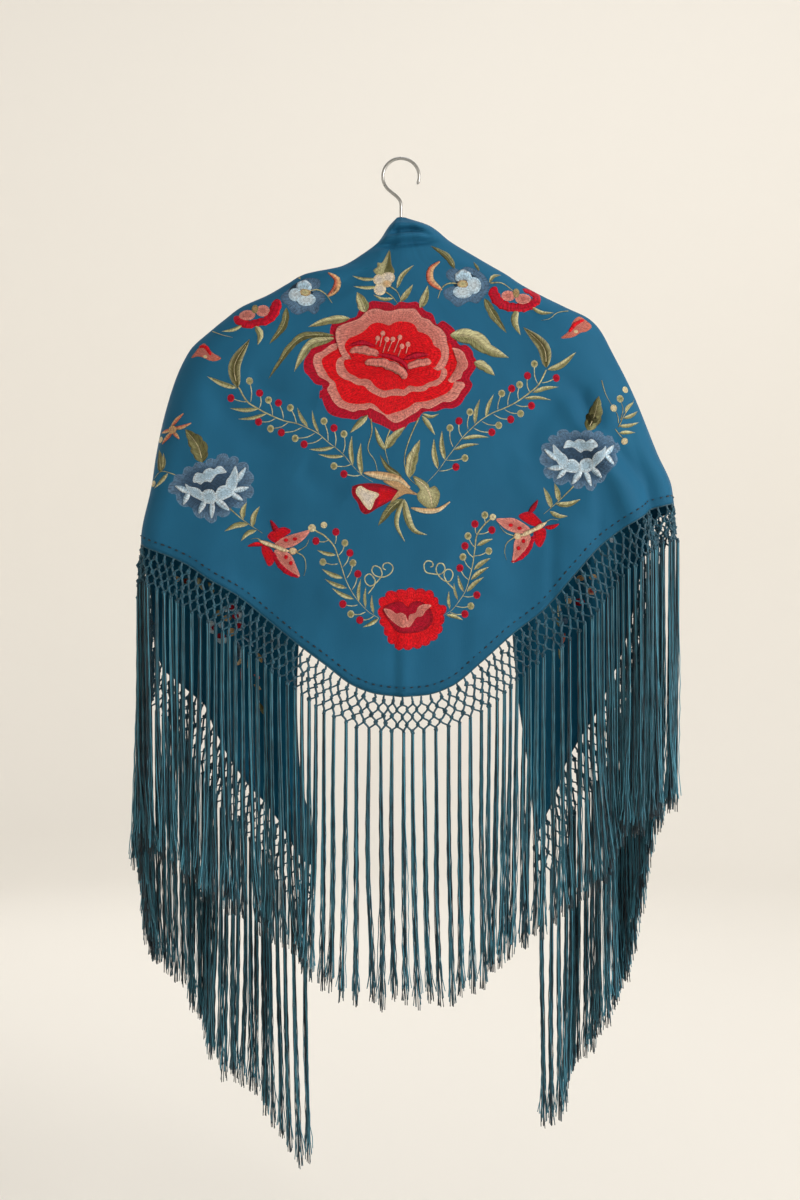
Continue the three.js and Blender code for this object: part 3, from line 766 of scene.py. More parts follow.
    def fill(self, centre, x, y, colour, other, level, lift, tone):  # rings from the middle out to the rim
        steps = len(x)
        size = float(np.max(np.hypot(x, y)))
        rings = max(3, int(size / sewing["ringWidth"]))
        share = (np.arange(1, rings + 1) / rings) ** 0.8
        px = np.concatenate([[centre[0]], (centre[0] + share[:, None] * x[None, :]).ravel()])
        py = np.concatenate([[centre[1]], (centre[1] + share[:, None] * y[None, :]).ravel()])
        raised = level * sewing["layer"] + lift * (1 - share**4)
        raised[-1] = sewing["sunkRim"] + level * sewing["layer"]
        full = np.concatenate([[raised[0]], np.repeat(raised, steps)])
        first, second = threadTones(colour, other)
        blend = np.concatenate([[0], np.repeat(share**tone, steps)])[:, None]
        size = size * view["mmPerPixel"]
        around = np.concatenate([[0], np.cumsum(np.hypot(np.diff(x), np.diff(y)))]) * view["mmPerPixel"]
        u = np.concatenate([[0], np.repeat(share * size, steps)])
        v = np.concatenate([[0], np.tile(around, rings)])
        faces = []
        for k in range(steps):
            m = (k + 1) % steps
            faces.append((0, 1 + k, 1 + m))
            for r in range(rings - 1):
                a, b = 1 + r * steps, 1 + (r + 1) * steps
                faces.append((a + k, b + k, b + m, a + m))
        uv = np.stack([u + centre[0] * 1.7, v + centre[1]], -1)
        self.keep(px, py, full, first * (1 - blend) + second * blend, uv, faces)

    def leafAlong(self, path, width, colour, other, waves=0, lift=0.6):  # wider ones have a midrib
        self.ribbon(path, width, colour, "leaf", other, 0, lift, waves, 0.22, slant=0.9, across=6)
        if width > 6.5:
            rib = "cream" if width > 9 else "olivePale"
            self.ribbon(smoothPath(path, 9)[1:8], 0.9, rib, "taper", "olivePale", level=2, lift=0.3, across=2)

    def leaf(self, base, tip, width, bend, colour="olive", other="olivePale", lift=0.6):
        base, tip = np.array(base, float), np.array(tip, float)
        across = np.array([tip[1] - base[1], base[0] - tip[0]])
        self.leafAlong([base, (base + tip) / 2 + across * bend, tip], width, colour, other, lift=lift)

    def finish(self, name, turned=False):  # turned gives the flatter reverse, on the other face of the cloth
        px = np.concatenate([part[0] for part in self.parts])
        py = np.concatenate([part[1] for part in self.parts])
        lift = np.concatenate([part[2] for part in self.parts])
        points = self.surface(px, py, lift, turned)
        colours = np.concatenate([part[3] for part in self.parts])
        uvs = np.concatenate([part[4] for part in self.parts])
        faces, start = [], 0
        for part in self.parts:
            faces.extend(tuple(int(v) + start for v in (reversed(face) if turned else face)) for face in part[5])
            start += len(part[0])
        return addMesh(name, points, faces, threadFinish, uvs, colours)


# what is sewn: one row for each shape
def sewRows(work, rows):
    for what, *values in rows:
        if what == "leaf":  # width, then waves and colours unless it is a plain olive one, line
            width, *look, path = values
            waves, colour, other = look or (0, "olive", "olivePale")
            work.leafAlong(path, width, colour, other, waves)
        elif what == "stem":  # width, line
            work.ribbon(values[1], values[0], "olivePale", "taper", "olive", level=1, across=2)
        elif what == "band":  # level, waves, widths, colours, line
            level, waves, widths, colour, other, path = values
            work.ribbon(path, widths, colour, "band", other, level=level, lift=0.7, waves=waves, waveDepth=0.26)
        elif what == "petal":  # level, width, colours, line
            level, width, colour, other, path = values
            work.ribbon(path, width, colour, "petal", other, level=level, lift=0.6)
        elif what == "patch":  # level, colours, corners
            level, colour, other, corners = values
            work.patch(corners, colour, other, level)
        else:  # spot: level, radii, colours, centre
            level, radii, colour, other, centre = values
            work.blob(centre, radii, colour, other, level=level, lift=0.6)


# the big rose
bigRose = {
    "petals": [  # level, colours, then the closed line round the petal, from the rim to the middle
        (0, "crimson", None, [(369, 303), (373, 301), (382, 302), (390, 303), (395, 306), (400, 302), (408, 303),
            (416, 302), (421, 306), (425, 311), (432, 314), (435, 321), (437, 325), (442, 321), (449, 325),
            (455, 331), (455, 338), (459, 345), (466, 345), (472, 351), (473, 356), (477, 362), (475, 368),
            (471, 374), (469, 379), (472, 384), (469, 391), (465, 396), (460, 404), (452, 408), (444, 408),
            (436, 411), (427, 411), (422, 413), (417, 420), (409, 423), (404, 429), (396, 432), (388, 428),
            (380, 424), (372, 421), (368, 416), (362, 416), (357, 419), (348, 418), (340, 417), (330, 413),
            (325, 405), (323, 399), (320, 392), (323, 386), (316, 383), (310, 376), (305, 370), (305, 360),
            (310, 352), (315, 344), (324, 342), (330, 338), (331, 328), (335, 321), (345, 319), (356, 317),
            (359, 311), (364, 307)]),
        (1, "salmon", "pinkPale", [(337, 343), (330, 345), (322, 351), (315, 354), (313, 361), (315, 368), (319, 376),
            (326, 380), (330, 384), (327, 389), (330, 395), (333, 401), (339, 407), (345, 409), (353, 412),
            (359, 410), (366, 410), (370, 408), (376, 411), (384, 415), (388, 419), (395, 423), (402, 421),
            (410, 416), (417, 412), (422, 408), (429, 409), (436, 406), (443, 402), (450, 402), (457, 398),
            (461, 391), (465, 386), (463, 382), (457, 382), (452, 383), (450, 372), (440, 350), (400, 340),
            (360, 340)]),
        (2, "red", None, [(337, 349), (333, 351), (327, 355), (322, 359), (323, 366), (327, 373), (330, 378),
            (335, 382), (337, 389), (340, 395), (343, 400), (349, 403), (356, 404), (363, 404), (370, 403),
            (376, 406), (381, 411), (387, 415), (394, 413), (401, 411), (408, 408), (415, 403), (422, 402),
            (428, 401), (434, 399), (441, 396), (447, 393), (452, 388), (454, 382), (456, 372), (457, 365),
            (457, 357), (453, 350), (445, 340), (400, 328), (360, 328), (341, 341)]),
        (3, "salmon", "pinkPale", [(452, 348), (459, 349), (464, 353), (466, 358), (468, 363), (467, 368), (463, 372),
            (461, 378), (457, 380), (452, 383), (448, 380), (453, 376), (455, 370), (457, 364), (457, 357),
            (455, 351)]),
        (3, "salmon", "pinkPale", [(352, 357), (345, 356), (338, 359), (336, 366), (338, 374), (344, 379), (350, 381),
            (357, 385), (364, 386), (369, 391), (376, 395), (384, 398), (391, 396), (399, 396), (405, 396),
            (411, 392), (418, 392), (425, 391), (430, 387), (437, 386), (443, 381), (447, 375), (446, 369),
            (441, 367), (430, 362), (400, 356), (370, 352)]),
        (4, "red", None, [(354, 359), (347, 359), (344, 362), (345, 367), (349, 373), (355, 376), (360, 379),
            (366, 379), (371, 381), (374, 385), (379, 389), (385, 391), (391, 390), (398, 389), (404, 390),
            (409, 386), (416, 387), (423, 386), (428, 383), (434, 381), (439, 378), (441, 372), (440, 367),
            (425, 360), (400, 350), (370, 346), (356, 350)]),
        (5, "salmon", "pinkPale", [(347, 360), (341, 354), (338, 345), (336, 338), (336, 332), (338, 327), (344, 324),
            (350, 322), (356, 320), (361, 317), (366, 312), (373, 309), (379, 309), (385, 311), (392, 311),
            (400, 309), (408, 309), (415, 309), (419, 314), (423, 318), (429, 320), (434, 325), (441, 329),
            (446, 336), (447, 343), (449, 350), (448, 360), (444, 368), (438, 371), (434, 369), (420, 361),
            (400, 357), (380, 355), (362, 353), (351, 356)]),
        (6, "red", None, [(350, 356), (346, 350), (345, 345), (349, 339), (356, 336), (362, 333), (367, 329),
            (371, 325), (377, 323), (383, 324), (389, 326), (393, 324), (398, 322), (404, 322), (410, 323),
            (415, 326), (418, 332), (422, 333), (428, 336), (432, 341), (434, 346), (440, 350), (441, 357),
            (438, 363), (434, 368), (420, 369), (400, 367), (380, 365), (362, 362), (353, 360)]),
    ],
    "bands": [  # waves, widths, then the middle line
        (3, [5, 9, 6], [(350, 352), (359, 350), (370, 352), (379, 355)]),
        (4, [6, 9, 10, 7], [(365, 363), (380, 363), (390, 366), (400, 371), (406, 379)]),
        (3, [6, 8, 7], [(407, 368), (417, 364), (431, 362)]),
    ],
    "curls": [
        ([(349, 346), (362, 343), (376, 347)], 4.5),
        ([(377, 355), (390, 357), (403, 363), (409, 373)], 5),
        ([(403, 360), (416, 356), (429, 355)], 6),
    ],
    "stamens": [((378, 339), (376, 345)), ((383, 334), (380, 347)), ((387, 340), (383, 353)),
        ((393, 340), (388, 352)), ((400, 338), (394, 353)), ((402, 347), (398, 357)), ((408, 345), (406, 354))],
    "leaves": [  # from the stem to the tip
        ("leaf", 12, 2, "olive", "olivePale", [(366, 312), (362, 302), (357, 291)]),
        ("leaf", 9, 2, "olivePale", "olive", [(350, 318), (328, 320), (308, 326)]),
        ("leaf", 8, 4, "olive", "oliveDark", [(334, 335), (305, 335), (290, 346), (280, 360), (268, 378)]),
        ("leaf", 10, 2, "olivePale", "olive", [(334, 338), (312, 343), (302, 355), (294, 371)]),
        ("leaf", 17, 3, "olive", "olivePale", [(450, 335), (472, 337), (489, 349), (509, 357)]),
        ("leaf", 10, 2, "olive", "olivePale", [(474, 362), (484, 366), (495, 375)]),
        ("leaf", 10, [(420, 308), (425, 297), (428, 285)]),
        ("leaf", 8, [(368, 415), (360, 423), (350, 433)]),
        ("leaf", 4.5, [(422, 414), (431, 417), (439, 414)]),
        ("leaf", 6.5, [(422, 416), (428, 424), (435, 435)]),
    ],
}


def sewBigRose(work):
    sewRows(work, bigRose["leaves"])
    for level, colour, other, line in bigRose["petals"]:
        if level == 0:  # its edge dips into the cloth
            line = np.array(line) * 1.03 - np.mean(line, axis=0) * 0.03
        work.patch(line, colour, other, level, 0.3, 10)
    for waves, widths, path in bigRose["bands"]:
        work.ribbon(path, widths, "salmon", "band", "pinkPale", level=7, lift=0.5, waves=waves, waveDepth=0.3,
            slant=0.15)
    for path, width in bigRose["curls"]:
        work.ribbon(path, width, "crimson", "crescent", level=8, lift=0.6, waves=3, waveDepth=0.2)
    for head, foot in bigRose["stamens"]:
        work.ribbon([foot, head], 1.1, "pinkPale", "stem", level=8, lift=0.5, across=2)
        work.blob(head, (2.4, 2.7), "pinkPale", level=8, lift=0.7, steps=10)


# smaller flowers
upperFlowers = [
    # white flower over the rose
    ("patch", 0, "olivePale", "olive", [(390, 247), (386, 254), (382, 261), (377, 261), (377, 266), (373, 269),
        (376, 274), (383, 276), (387, 262)]),
    ("patch", 0, "oliveDark", "olive", [(390, 247), (391, 256), (392, 264), (395, 271), (391, 276), (382, 276),
        (387, 262)]),
    ("leaf", 4.5, [(376, 278), (364, 278), (352, 274)]),
    ("leaf", 4.5, [(378, 286), (367, 287), (353, 285)]),
    ("leaf", 6, [(397, 288), (402, 275), (414, 264)]),
    ("leaf", 7.5, [(400, 302), (407, 293), (413, 284)]),
    ("leaf", 4.5, 0, "olivePale", "olive", [(394, 298), (383, 299), (373, 294)]),
    ("stem", 1.8, [(390, 286), (397, 291), (401, 300)]),
    ("stem", 1.8, [(385, 291), (392, 296), (398, 304)]),
    ("spot", 1, (5.8, 5.6), "white", "cream", (379, 279)),
    ("spot", 1, (7, 6.4), "white", "cream", (388, 277)),
    ("spot", 1, (6.2, 6), "white", "cream", (380, 289)),
    ("spot", 2, (4.6, 4), "peach", "cream", (387, 283)),
    # slate flowers
    ("patch", 0, "slatePale", "slate", [(279, 294), (287, 286), (295, 279), (304, 275), (313, 275), (320, 278),
        (320, 285), (315, 289), (323, 291), (326, 299), (320, 304), (319, 310), (314, 314), (308, 310), (303, 312),
        (296, 314), (289, 309), (286, 304), (281, 301)]),
    ("patch", 0, "slatePale", "slate", [(447, 277), (446, 270), (453, 266), (460, 268), (466, 264), (475, 266),
        (483, 270), (488, 276), (491, 283), (489, 291), (484, 297), (478, 303), (470, 301), (464, 304), (457, 307),
        (450, 301), (444, 297), (443, 290), (449, 286), (456, 283)]),
    ("spot", 1, (13, 12), "slateDeep", "shadow", (301, 291)),
    ("spot", 1, (13, 12.5), "slateDeep", "shadow", (467, 283)),
    ("band", 3, 3, [8, 12, 8], "ice", "frost", [(296, 286), (303, 284), (311, 288)]),
    ("spot", 3, (7, 6.8), "frost", "ice", (295, 293)),
    ("spot", 3, (9.5, 6.6), "frost", "ice", (306, 298)),
    ("band", 3, 3, [8, 12, 8], "ice", "frost", [(456, 279), (463, 274), (472, 277)]),
    ("spot", 3, (7.6, 8.6), "frost", "ice", (474, 284)),
    ("spot", 3, (10, 6.6), "frost", "ice", (463, 291)),
    ("stem", 2.4, [(305, 291), (316, 288), (325, 292), (332, 302)]),
    ("spot", 4, (5.4, 4), "olivePale", "tan", (305, 291)),
    ("stem", 2.4, [(462, 283), (450, 282), (442, 287), (438, 298)]),
    ("spot", 4, (5.4, 4), "olivePale", "tan", (463, 283)),
    ("petal", 1, 8, "orange", "peach", [(328, 271), (337, 278), (335, 288), (327, 295)]),
    ("petal", 1, 8, "orange", "peach", [(440, 260), (431, 268), (431, 280), (442, 289)]),
    ("leaf", 7, 3, "olive", "oliveDark", [(455, 267), (447, 254), (431, 243)]),
    ("leaf", 4, 0, "olive", "oliveDark", [(480, 269), (477, 264), (474, 259)]),
    ("leaf", 5, [(490, 281), (494, 274), (502, 272)]),
    ("leaf", 4, [(300, 276), (295, 270), (289, 267)]),
    # red flowers with pink petals
    ("band", 0, 9, [8, 9, 9, 8, 9, 12, 12, 10], "crimson", "red", [(233, 313), (238, 319), (247, 323), (257, 321),
        (266, 319), (273, 311), (276, 302), (275, 297)]),
    ("band", 0, 11, [8, 12, 11, 10, 10, 10, 10, 9, 6], "crimson", "red", [(497, 285), (494, 291), (499, 300),
        (508, 305), (520, 306), (530, 304), (538, 297), (535, 290), (524, 286)]),
    ("spot", 1, (8.5, 5.6), "salmon", "pinkPale", (246, 313)),
    ("spot", 1, (7, 6), "salmon", "pinkPale", (262, 309)),
    ("spot", 2, (3.4, 4.6), "tan", "olive", (254, 307)),
    ("spot", 1, (7, 5.4), "salmon", "pinkPale", (509, 294)),
    ("spot", 1, (8, 5.4), "salmon", "pinkPale", (524, 297)),
    ("spot", 2, (3.4, 4.8), "tan", "olive", (517, 291)),
    ("stem", 2, [(491, 281), (503, 281), (514, 289)]),
    ("leaf", 5, [(242, 323), (232, 328), (220, 329)]),
    ("leaf", 8.5, [(254, 324), (260, 333), (257, 344)]),
    ("leaf", 8, 3, "olive", "oliveDark", [(286, 306), (283, 324), (269, 343)]),
    ("leaf", 9, 3, "olive", "oliveDark", [(485, 297), (494, 314), (507, 332)]),
    ("leaf", 9, [(518, 307), (515, 320), (521, 334)]),
    ("leaf", 5, [(532, 305), (542, 311), (555, 311)]),
    ("stem", 1.3, [(570, 308), (558, 311), (551, 317), (542, 319)]),
    ("stem", 1.3, [(210, 328), (221, 333), (232, 336)]),
    # moths at the shoulders, then the two large leaves
    ("patch", 0, "salmon", "orange", [(188, 355), (196, 345), (202, 340), (207, 346), (213, 352), (221, 357),
        (215, 360), (208, 359), (202, 356), (195, 354)]),
    ("band", 1, 3, [3, 4.5, 3], "red", "crimson", [(197, 344), (204, 345), (210, 354)]),
    ("spot", 2, (2.2, 1.8), "cream", "peach", (204, 355)),
    ("patch", 0, "salmon", "orange", [(561, 337), (569, 330), (575, 318), (582, 313), (589, 317), (595, 323),
        (589, 329), (582, 331), (576, 335), (569, 337)]),
    ("band", 1, 3, [3, 5, 3], "red", "crimson", [(570, 331), (577, 322), (586, 317)]),
    ("spot", 2, (2.2, 1.8), "cream", "peach", (577, 330)),
    ("leaf", 15, 0, "rimmed", "olivePale", [(237, 387), (234, 364), (249, 338)]),
    ("leaf", 6.5, [(236, 387), (222, 383), (206, 375)]),
    ("leaf", 15, 0, "rimmed", "olivePale", [(547, 367), (544, 346), (524, 326)]),
    ("leaf", 8, [(548, 369), (562, 364), (577, 351)]),
]

rosebud = [
    ("stem", 1.5, [(371, 419), (372, 432), (368, 449), (375, 461), (378, 474)]),
    ("stem", 1.5, [(390, 430), (386, 441), (385, 449), (389, 464)]),
    ("stem", 1.7, [(419, 418), (410, 438), (405, 455), (405, 467), (410, 479), (418, 486)]),
    ("leaf", 6.5, 0, "olivePale", "olive", [(386, 451), (379, 440), (375, 427)]),
    ("leaf", 9, 2, "olive", "olivePale", [(386, 449), (393, 438), (405, 427)]),
    ("leaf", 12, 3, "olive", "olivePale", [(409, 478), (412, 460), (420, 440)]),
    ("leaf", 7, 0, "oliveDark", "olive", [(402, 477), (388, 468), (380, 455)]),
    ("leaf", 9, 2, "olive", "oliveDark", [(403, 499), (391, 508), (378, 526)]),
    ("leaf", 6, [(404, 499), (398, 513), (397, 526), (405, 542)]),
    ("leaf", 9, [(404, 499), (408, 519), (415, 531), (427, 535)]),
    ("patch", 0, "crimson", "redDeep", [(354, 485), (364, 483), (376, 483), (387, 485), (400, 491), (396, 497),
        (388, 503), (377, 509), (371, 513), (365, 515), (360, 511), (357, 503), (352, 496), (351, 489)]),
    ("patch", 1, "red", "crimson", [(378, 487), (389, 489), (398, 492), (392, 499), (382, 504), (376, 507),
        (378, 497)]),
    ("patch", 2, "white", "cream", [(357, 488), (361, 486), (368, 490), (379, 494), (375, 500), (372, 508),
        (369, 510), (364, 505), (360, 499), (356, 493)]),
    ("petal", 2, 9, "peach", "cream", [(410, 488), (398, 479), (383, 476), (364, 473)]),
    ("patch", 1, "peach", "tan", [(383, 481), (391, 480), (398, 476), (405, 481), (410, 489), (418, 495), (406, 494),
        (398, 498), (390, 503), (396, 495), (399, 491), (392, 487)]),
    ("patch", 1, "olivePale", "olive", [(413, 476), (421, 479), (428, 484), (430, 488), (435, 486), (440, 494),
        (437, 506), (431, 509), (424, 506), (418, 500), (417, 494), (420, 490), (416, 484)]),
    ("band", 2, 0, [1, 2, 1], "cream", "olivePale", [(414, 478), (424, 485), (430, 495), (432, 507)]),
    ("petal", 2, 6, "peach", "cream", [(450, 502), (438, 510), (425, 511), (411, 508)]),
]

# sprays, with each berry beside the place where its stem leaves the main one
sprays = [
    {
        "stem": [(238, 386), (246, 400), (256, 407), (267, 413), (283, 420), (296, 423), (308, 428), (319, 434),
            (328, 442), (342, 453), (352, 465), (362, 475), (373, 482)],
        "red": [((230, 397), (248, 401)), ((259, 392), (259, 407)), ((278, 402), (283, 418)),
            ((258, 421), (275, 418)), ((281, 432), (302, 427)), ((304, 444), (323, 437)), ((334, 428), (335, 447)),
            ((344, 474), (361, 475))],
        "olive": [((249, 380), (250, 401)), ((268, 399), (272, 415)), ((290, 407), (296, 423)),
            ((270, 428), (288, 422)), ((295, 438), (315, 433)), ((324, 421), (328, 441)), ((344, 434), (343, 453)),
            ((334, 466), (352, 464))],
        "leaves": [((258, 408), (229, 407), 5.2), ((266, 413), (237, 418), 4.5), ((308, 427), (297, 407), 5),
            ((319, 433), (312, 410), 4), ((334, 447), (309, 449), 5), ((344, 456), (318, 454), 4.5),
            ((353, 465), (352, 436), 6), ((362, 475), (361, 443), 7)],
    },
    {
        "stem": [(547, 369), (539, 384), (530, 392), (516, 402), (504, 408), (492, 413), (481, 420), (473, 427),
            (463, 437), (454, 449), (445, 461), (438, 471), (427, 483)],
        "red": [((557, 377), (542, 382)), ((528, 375), (530, 391)), ((512, 388), (508, 405)),
            ((532, 405), (516, 404)), ((511, 419), (494, 414)), ((492, 432), (474, 428)), ((459, 421), (462, 437)),
            ((456, 467), (439, 471))],
        "olive": [((535, 363), (538, 383)), ((520, 384), (519, 399)), ((502, 393), (498, 409)),
            ((521, 413), (505, 409)), ((499, 425), (482, 421)), ((470, 412), (468, 429)), ((450, 428), (453, 447)),
            ((465, 458), (446, 460))],
        "leaves": [((533, 392), (559, 386), 5.5), ((524, 398), (552, 399), 4.5), ((486, 417), (494, 394), 5),
            ((475, 424), (480, 399), 5.5), ((462, 439), (489, 437), 5), ((454, 450), (479, 444), 5),
            ((445, 460), (442, 431), 6.5), ((438, 469), (434, 439), 7)],
    },
    {
        "stem": [(312, 528), (318, 532), (325, 536), (334, 546), (338, 556), (342, 568), (346, 580), (352, 592),
            (360, 603), (369, 612), (379, 618)],
        "red": [((336, 532), (335, 544)), ((316, 541), (329, 540)), ((350, 553), (343, 567)),
            ((358, 574), (352, 590)), ((343, 604), (358, 605)), ((360, 620), (374, 616))],
        "olive": [((345, 543), (339, 555)), ((323, 562), (338, 564)), ((353, 563), (347, 578)),
            ((351, 614), (366, 612))],
        "leaves": [((336, 555), (317, 550), 5), ((343, 578), (322, 569), 6), ((347, 588), (325, 579), 5.5),
            ((354, 599), (332, 588), 5.5), ((359, 602), (361, 579), 4.5), ((366, 608), (366, 587), 4),
            ((374, 614), (372, 595), 4), ((379, 618), (363, 627), 5)],
    },
    {
        "stem": [(493, 517), (485, 524), (477, 535), (475, 548), (473, 563), (470, 576), (466, 590), (460, 600),
            (452, 610), (444, 615)],
        "red": [((475, 524), (477, 535)), ((492, 530), (478, 534)), ((465, 546), (474, 558)),
            ((460, 568), (469, 580)), ((477, 595), (463, 596)), ((465, 614), (450, 612))],
        "olive": [((485, 515), (486, 523)), ((468, 536), (476, 548)), ((489, 551), (474, 556)),
            ((463, 557), (472, 570)), ((471, 606), (456, 606))],
        "leaves": [((477, 546), (493, 539), 5.5), ((474, 570), (491, 558), 6), ((471, 580), (489, 567), 6),
            ((467, 592), (484, 577), 5.5), ((464, 592), (458, 575), 4.5), ((458, 600), (454, 583), 3.5),
            ((450, 609), (449, 591), 4), ((446, 615), (463, 620), 5)],
    },
]
tendrils = [
    [(368, 594), (374, 586), (375, 580), (370, 574), (365, 577), (366, 583), (371, 586), (377, 582), (382, 575),
        (380, 568), (374, 566), (372, 571), (376, 576), (384, 577), (391, 573), (393, 567), (389, 563), (384, 564),
        (383, 568), (386, 570)],
    [(457, 595), (453, 588), (447, 582), (444, 575), (446, 570), (451, 570), (453, 575), (450, 581), (445, 581),
        (439, 576), (436, 570), (438, 564), (443, 564), (445, 569), (441, 574), (434, 574), (426, 572), (424, 565),
        (427, 561), (432, 562), (433, 566), (430, 567)],
]


def sewSprays(work):
    for spray in sprays:
        work.ribbon(spray["stem"], 2.4, "olivePale", "taper", "olive", lift=0.5, across=2)
        for tone, other, size in (("red", None, 3.8), ("olive", "olivePale", 3.6)):
            for berry, root in spray[tone]:
                half = ((berry[0] + root[0]) / 2, (berry[1] + root[1]) / 2)
                bow = (spray["stem"][-1][0] - spray["stem"][0][0]) * 0.012
                work.ribbon([root, (half[0] + bow, half[1] + 1.5), berry], 1.35, "olivePale", "stem", lift=0.4,
                    across=2)
                work.blob(berry, (size, size * 1.08), "crimson" if tone == "red" else tone, other, lift=1.0, steps=12)
        for base, tip, width in spray["leaves"]:
            work.leaf(base, tip, width, 0.06)
    for place, size in (((312, 528), 4), ((324, 525), 3.3), ((493, 517), 3.3)):
        work.blob(place, (size, size), "cream", "olivePale", level=1, lift=0.9, steps=12)
    for path in tendrils:
        work.ribbon(path, 1.7, "olivePale", "stem", lift=0.5, across=2, count=90)


# the two slate and white flowers, as distances from their middles
blueFlower = {
    "middle": (210.7, 488.6),
    "rim": [
        (170, 481), (167, 484), (166, 489), (169, 493), (173, 494), (174, 500), (178, 505), (183, 507), (188, 506),
            (191, 504), (191, 510), (194, 516), (199, 519), (203, 518), (206, 521),
        (211, 524), (216, 521), (217, 516), (222, 518), (228, 516), (231, 511), (232, 507), (236, 508), (242, 508),
            (247, 503), (247, 498), (251, 498), (254, 493), (254, 488), (251, 484),
        (254, 480), (254, 475), (251, 471), (249, 469), (249, 465), (246, 461), (241, 461), (238, 462), (239, 458),
            (236, 455), (232, 455), (229, 457), (227, 453), (222, 452), (217, 454),
        (215, 458), (210, 457), (206, 459), (204, 462), (199, 461), (194, 462), (191, 466), (187, 465), (182, 467),
            (180, 473), (176, 473), (172, 475), (171, 479),
    ],
    "lobes": [  # level, then the closed line
        (2, [(192, 479), (194, 474), (197, 472), (202, 473), (204, 470), (208, 468), (211, 468), (214, 469),
            (217, 466), (221, 466), (224, 469), (226, 472), (222, 473), (217, 474), (214, 477), (212, 480),
            (210, 482), (207, 481), (203, 482), (200, 484), (196, 482), (193, 482)]),
        (2, [(184, 483), (189, 486), (195, 487), (199, 489), (202, 493), (204, 497), (205, 502), (200, 500),
            (194, 497), (189, 494), (187, 490), (185, 487)]),
        (2, [(215, 500), (215, 494), (217, 489), (220, 486), (225, 485), (230, 486), (235, 490), (232, 495),
            (225, 499), (219, 501)]),
        (2, [(225, 487), (226, 480), (229, 476), (232, 470), (235, 465), (237, 471), (238, 477), (237, 483),
            (235, 489), (231, 493), (226, 492)]),
        (3, [(201, 494), (204, 490), (209, 489), (213, 490), (216, 494), (217, 500), (212, 503), (206, 503),
            (202, 500)]),
    ],
    "spikes": [  # width, base, tip
        (6, (235, 483), (245, 467)), (6, (232, 491), (248, 487)), (6, (230, 493), (242, 500)),
            (6, (188, 492), (174, 485)),
        (6, (188, 491), (182, 504)), (6, (205, 499), (198, 513)), (6, (212, 500), (211, 518)),
            (7, (215, 499), (229, 510)),
    ],
}


def sewLargeBlue(work, centre, turn=0.0, grow=1.0, side=1):
    cosine, sine = math.cos(turn) * grow, math.sin(turn) * grow
    middle = blueFlower["middle"]

    def moved(path):
        away = [((px - middle[0]) * side, py - middle[1]) for px, py in path]
        return [(centre[0] + x * cosine + y * sine, centre[1] - x * sine + y * cosine) for x, y in away]

    work.patch(moved(blueFlower["rim"]), "slate", "slatePale", 0, lift=0.6, tone=5)
    work.blob(centre, (33 * grow, 24 * grow), "slateDeep", "slate", level=1, lift=0.3, steps=44, tone=5)
    for width, base, tip in blueFlower["spikes"]:
        base, tip = moved([base, tip])
        work.ribbon([tip, ((base[0] + tip[0]) / 2, (base[1] + tip[1]) / 2), base], width * 1.1, "frost", "petal",
            "ice", level=2, lift=0.6)
    for level, line in blueFlower["lobes"]:
        work.patch(moved(line), "ice", "frost", level, lift=0.6, tone=3)


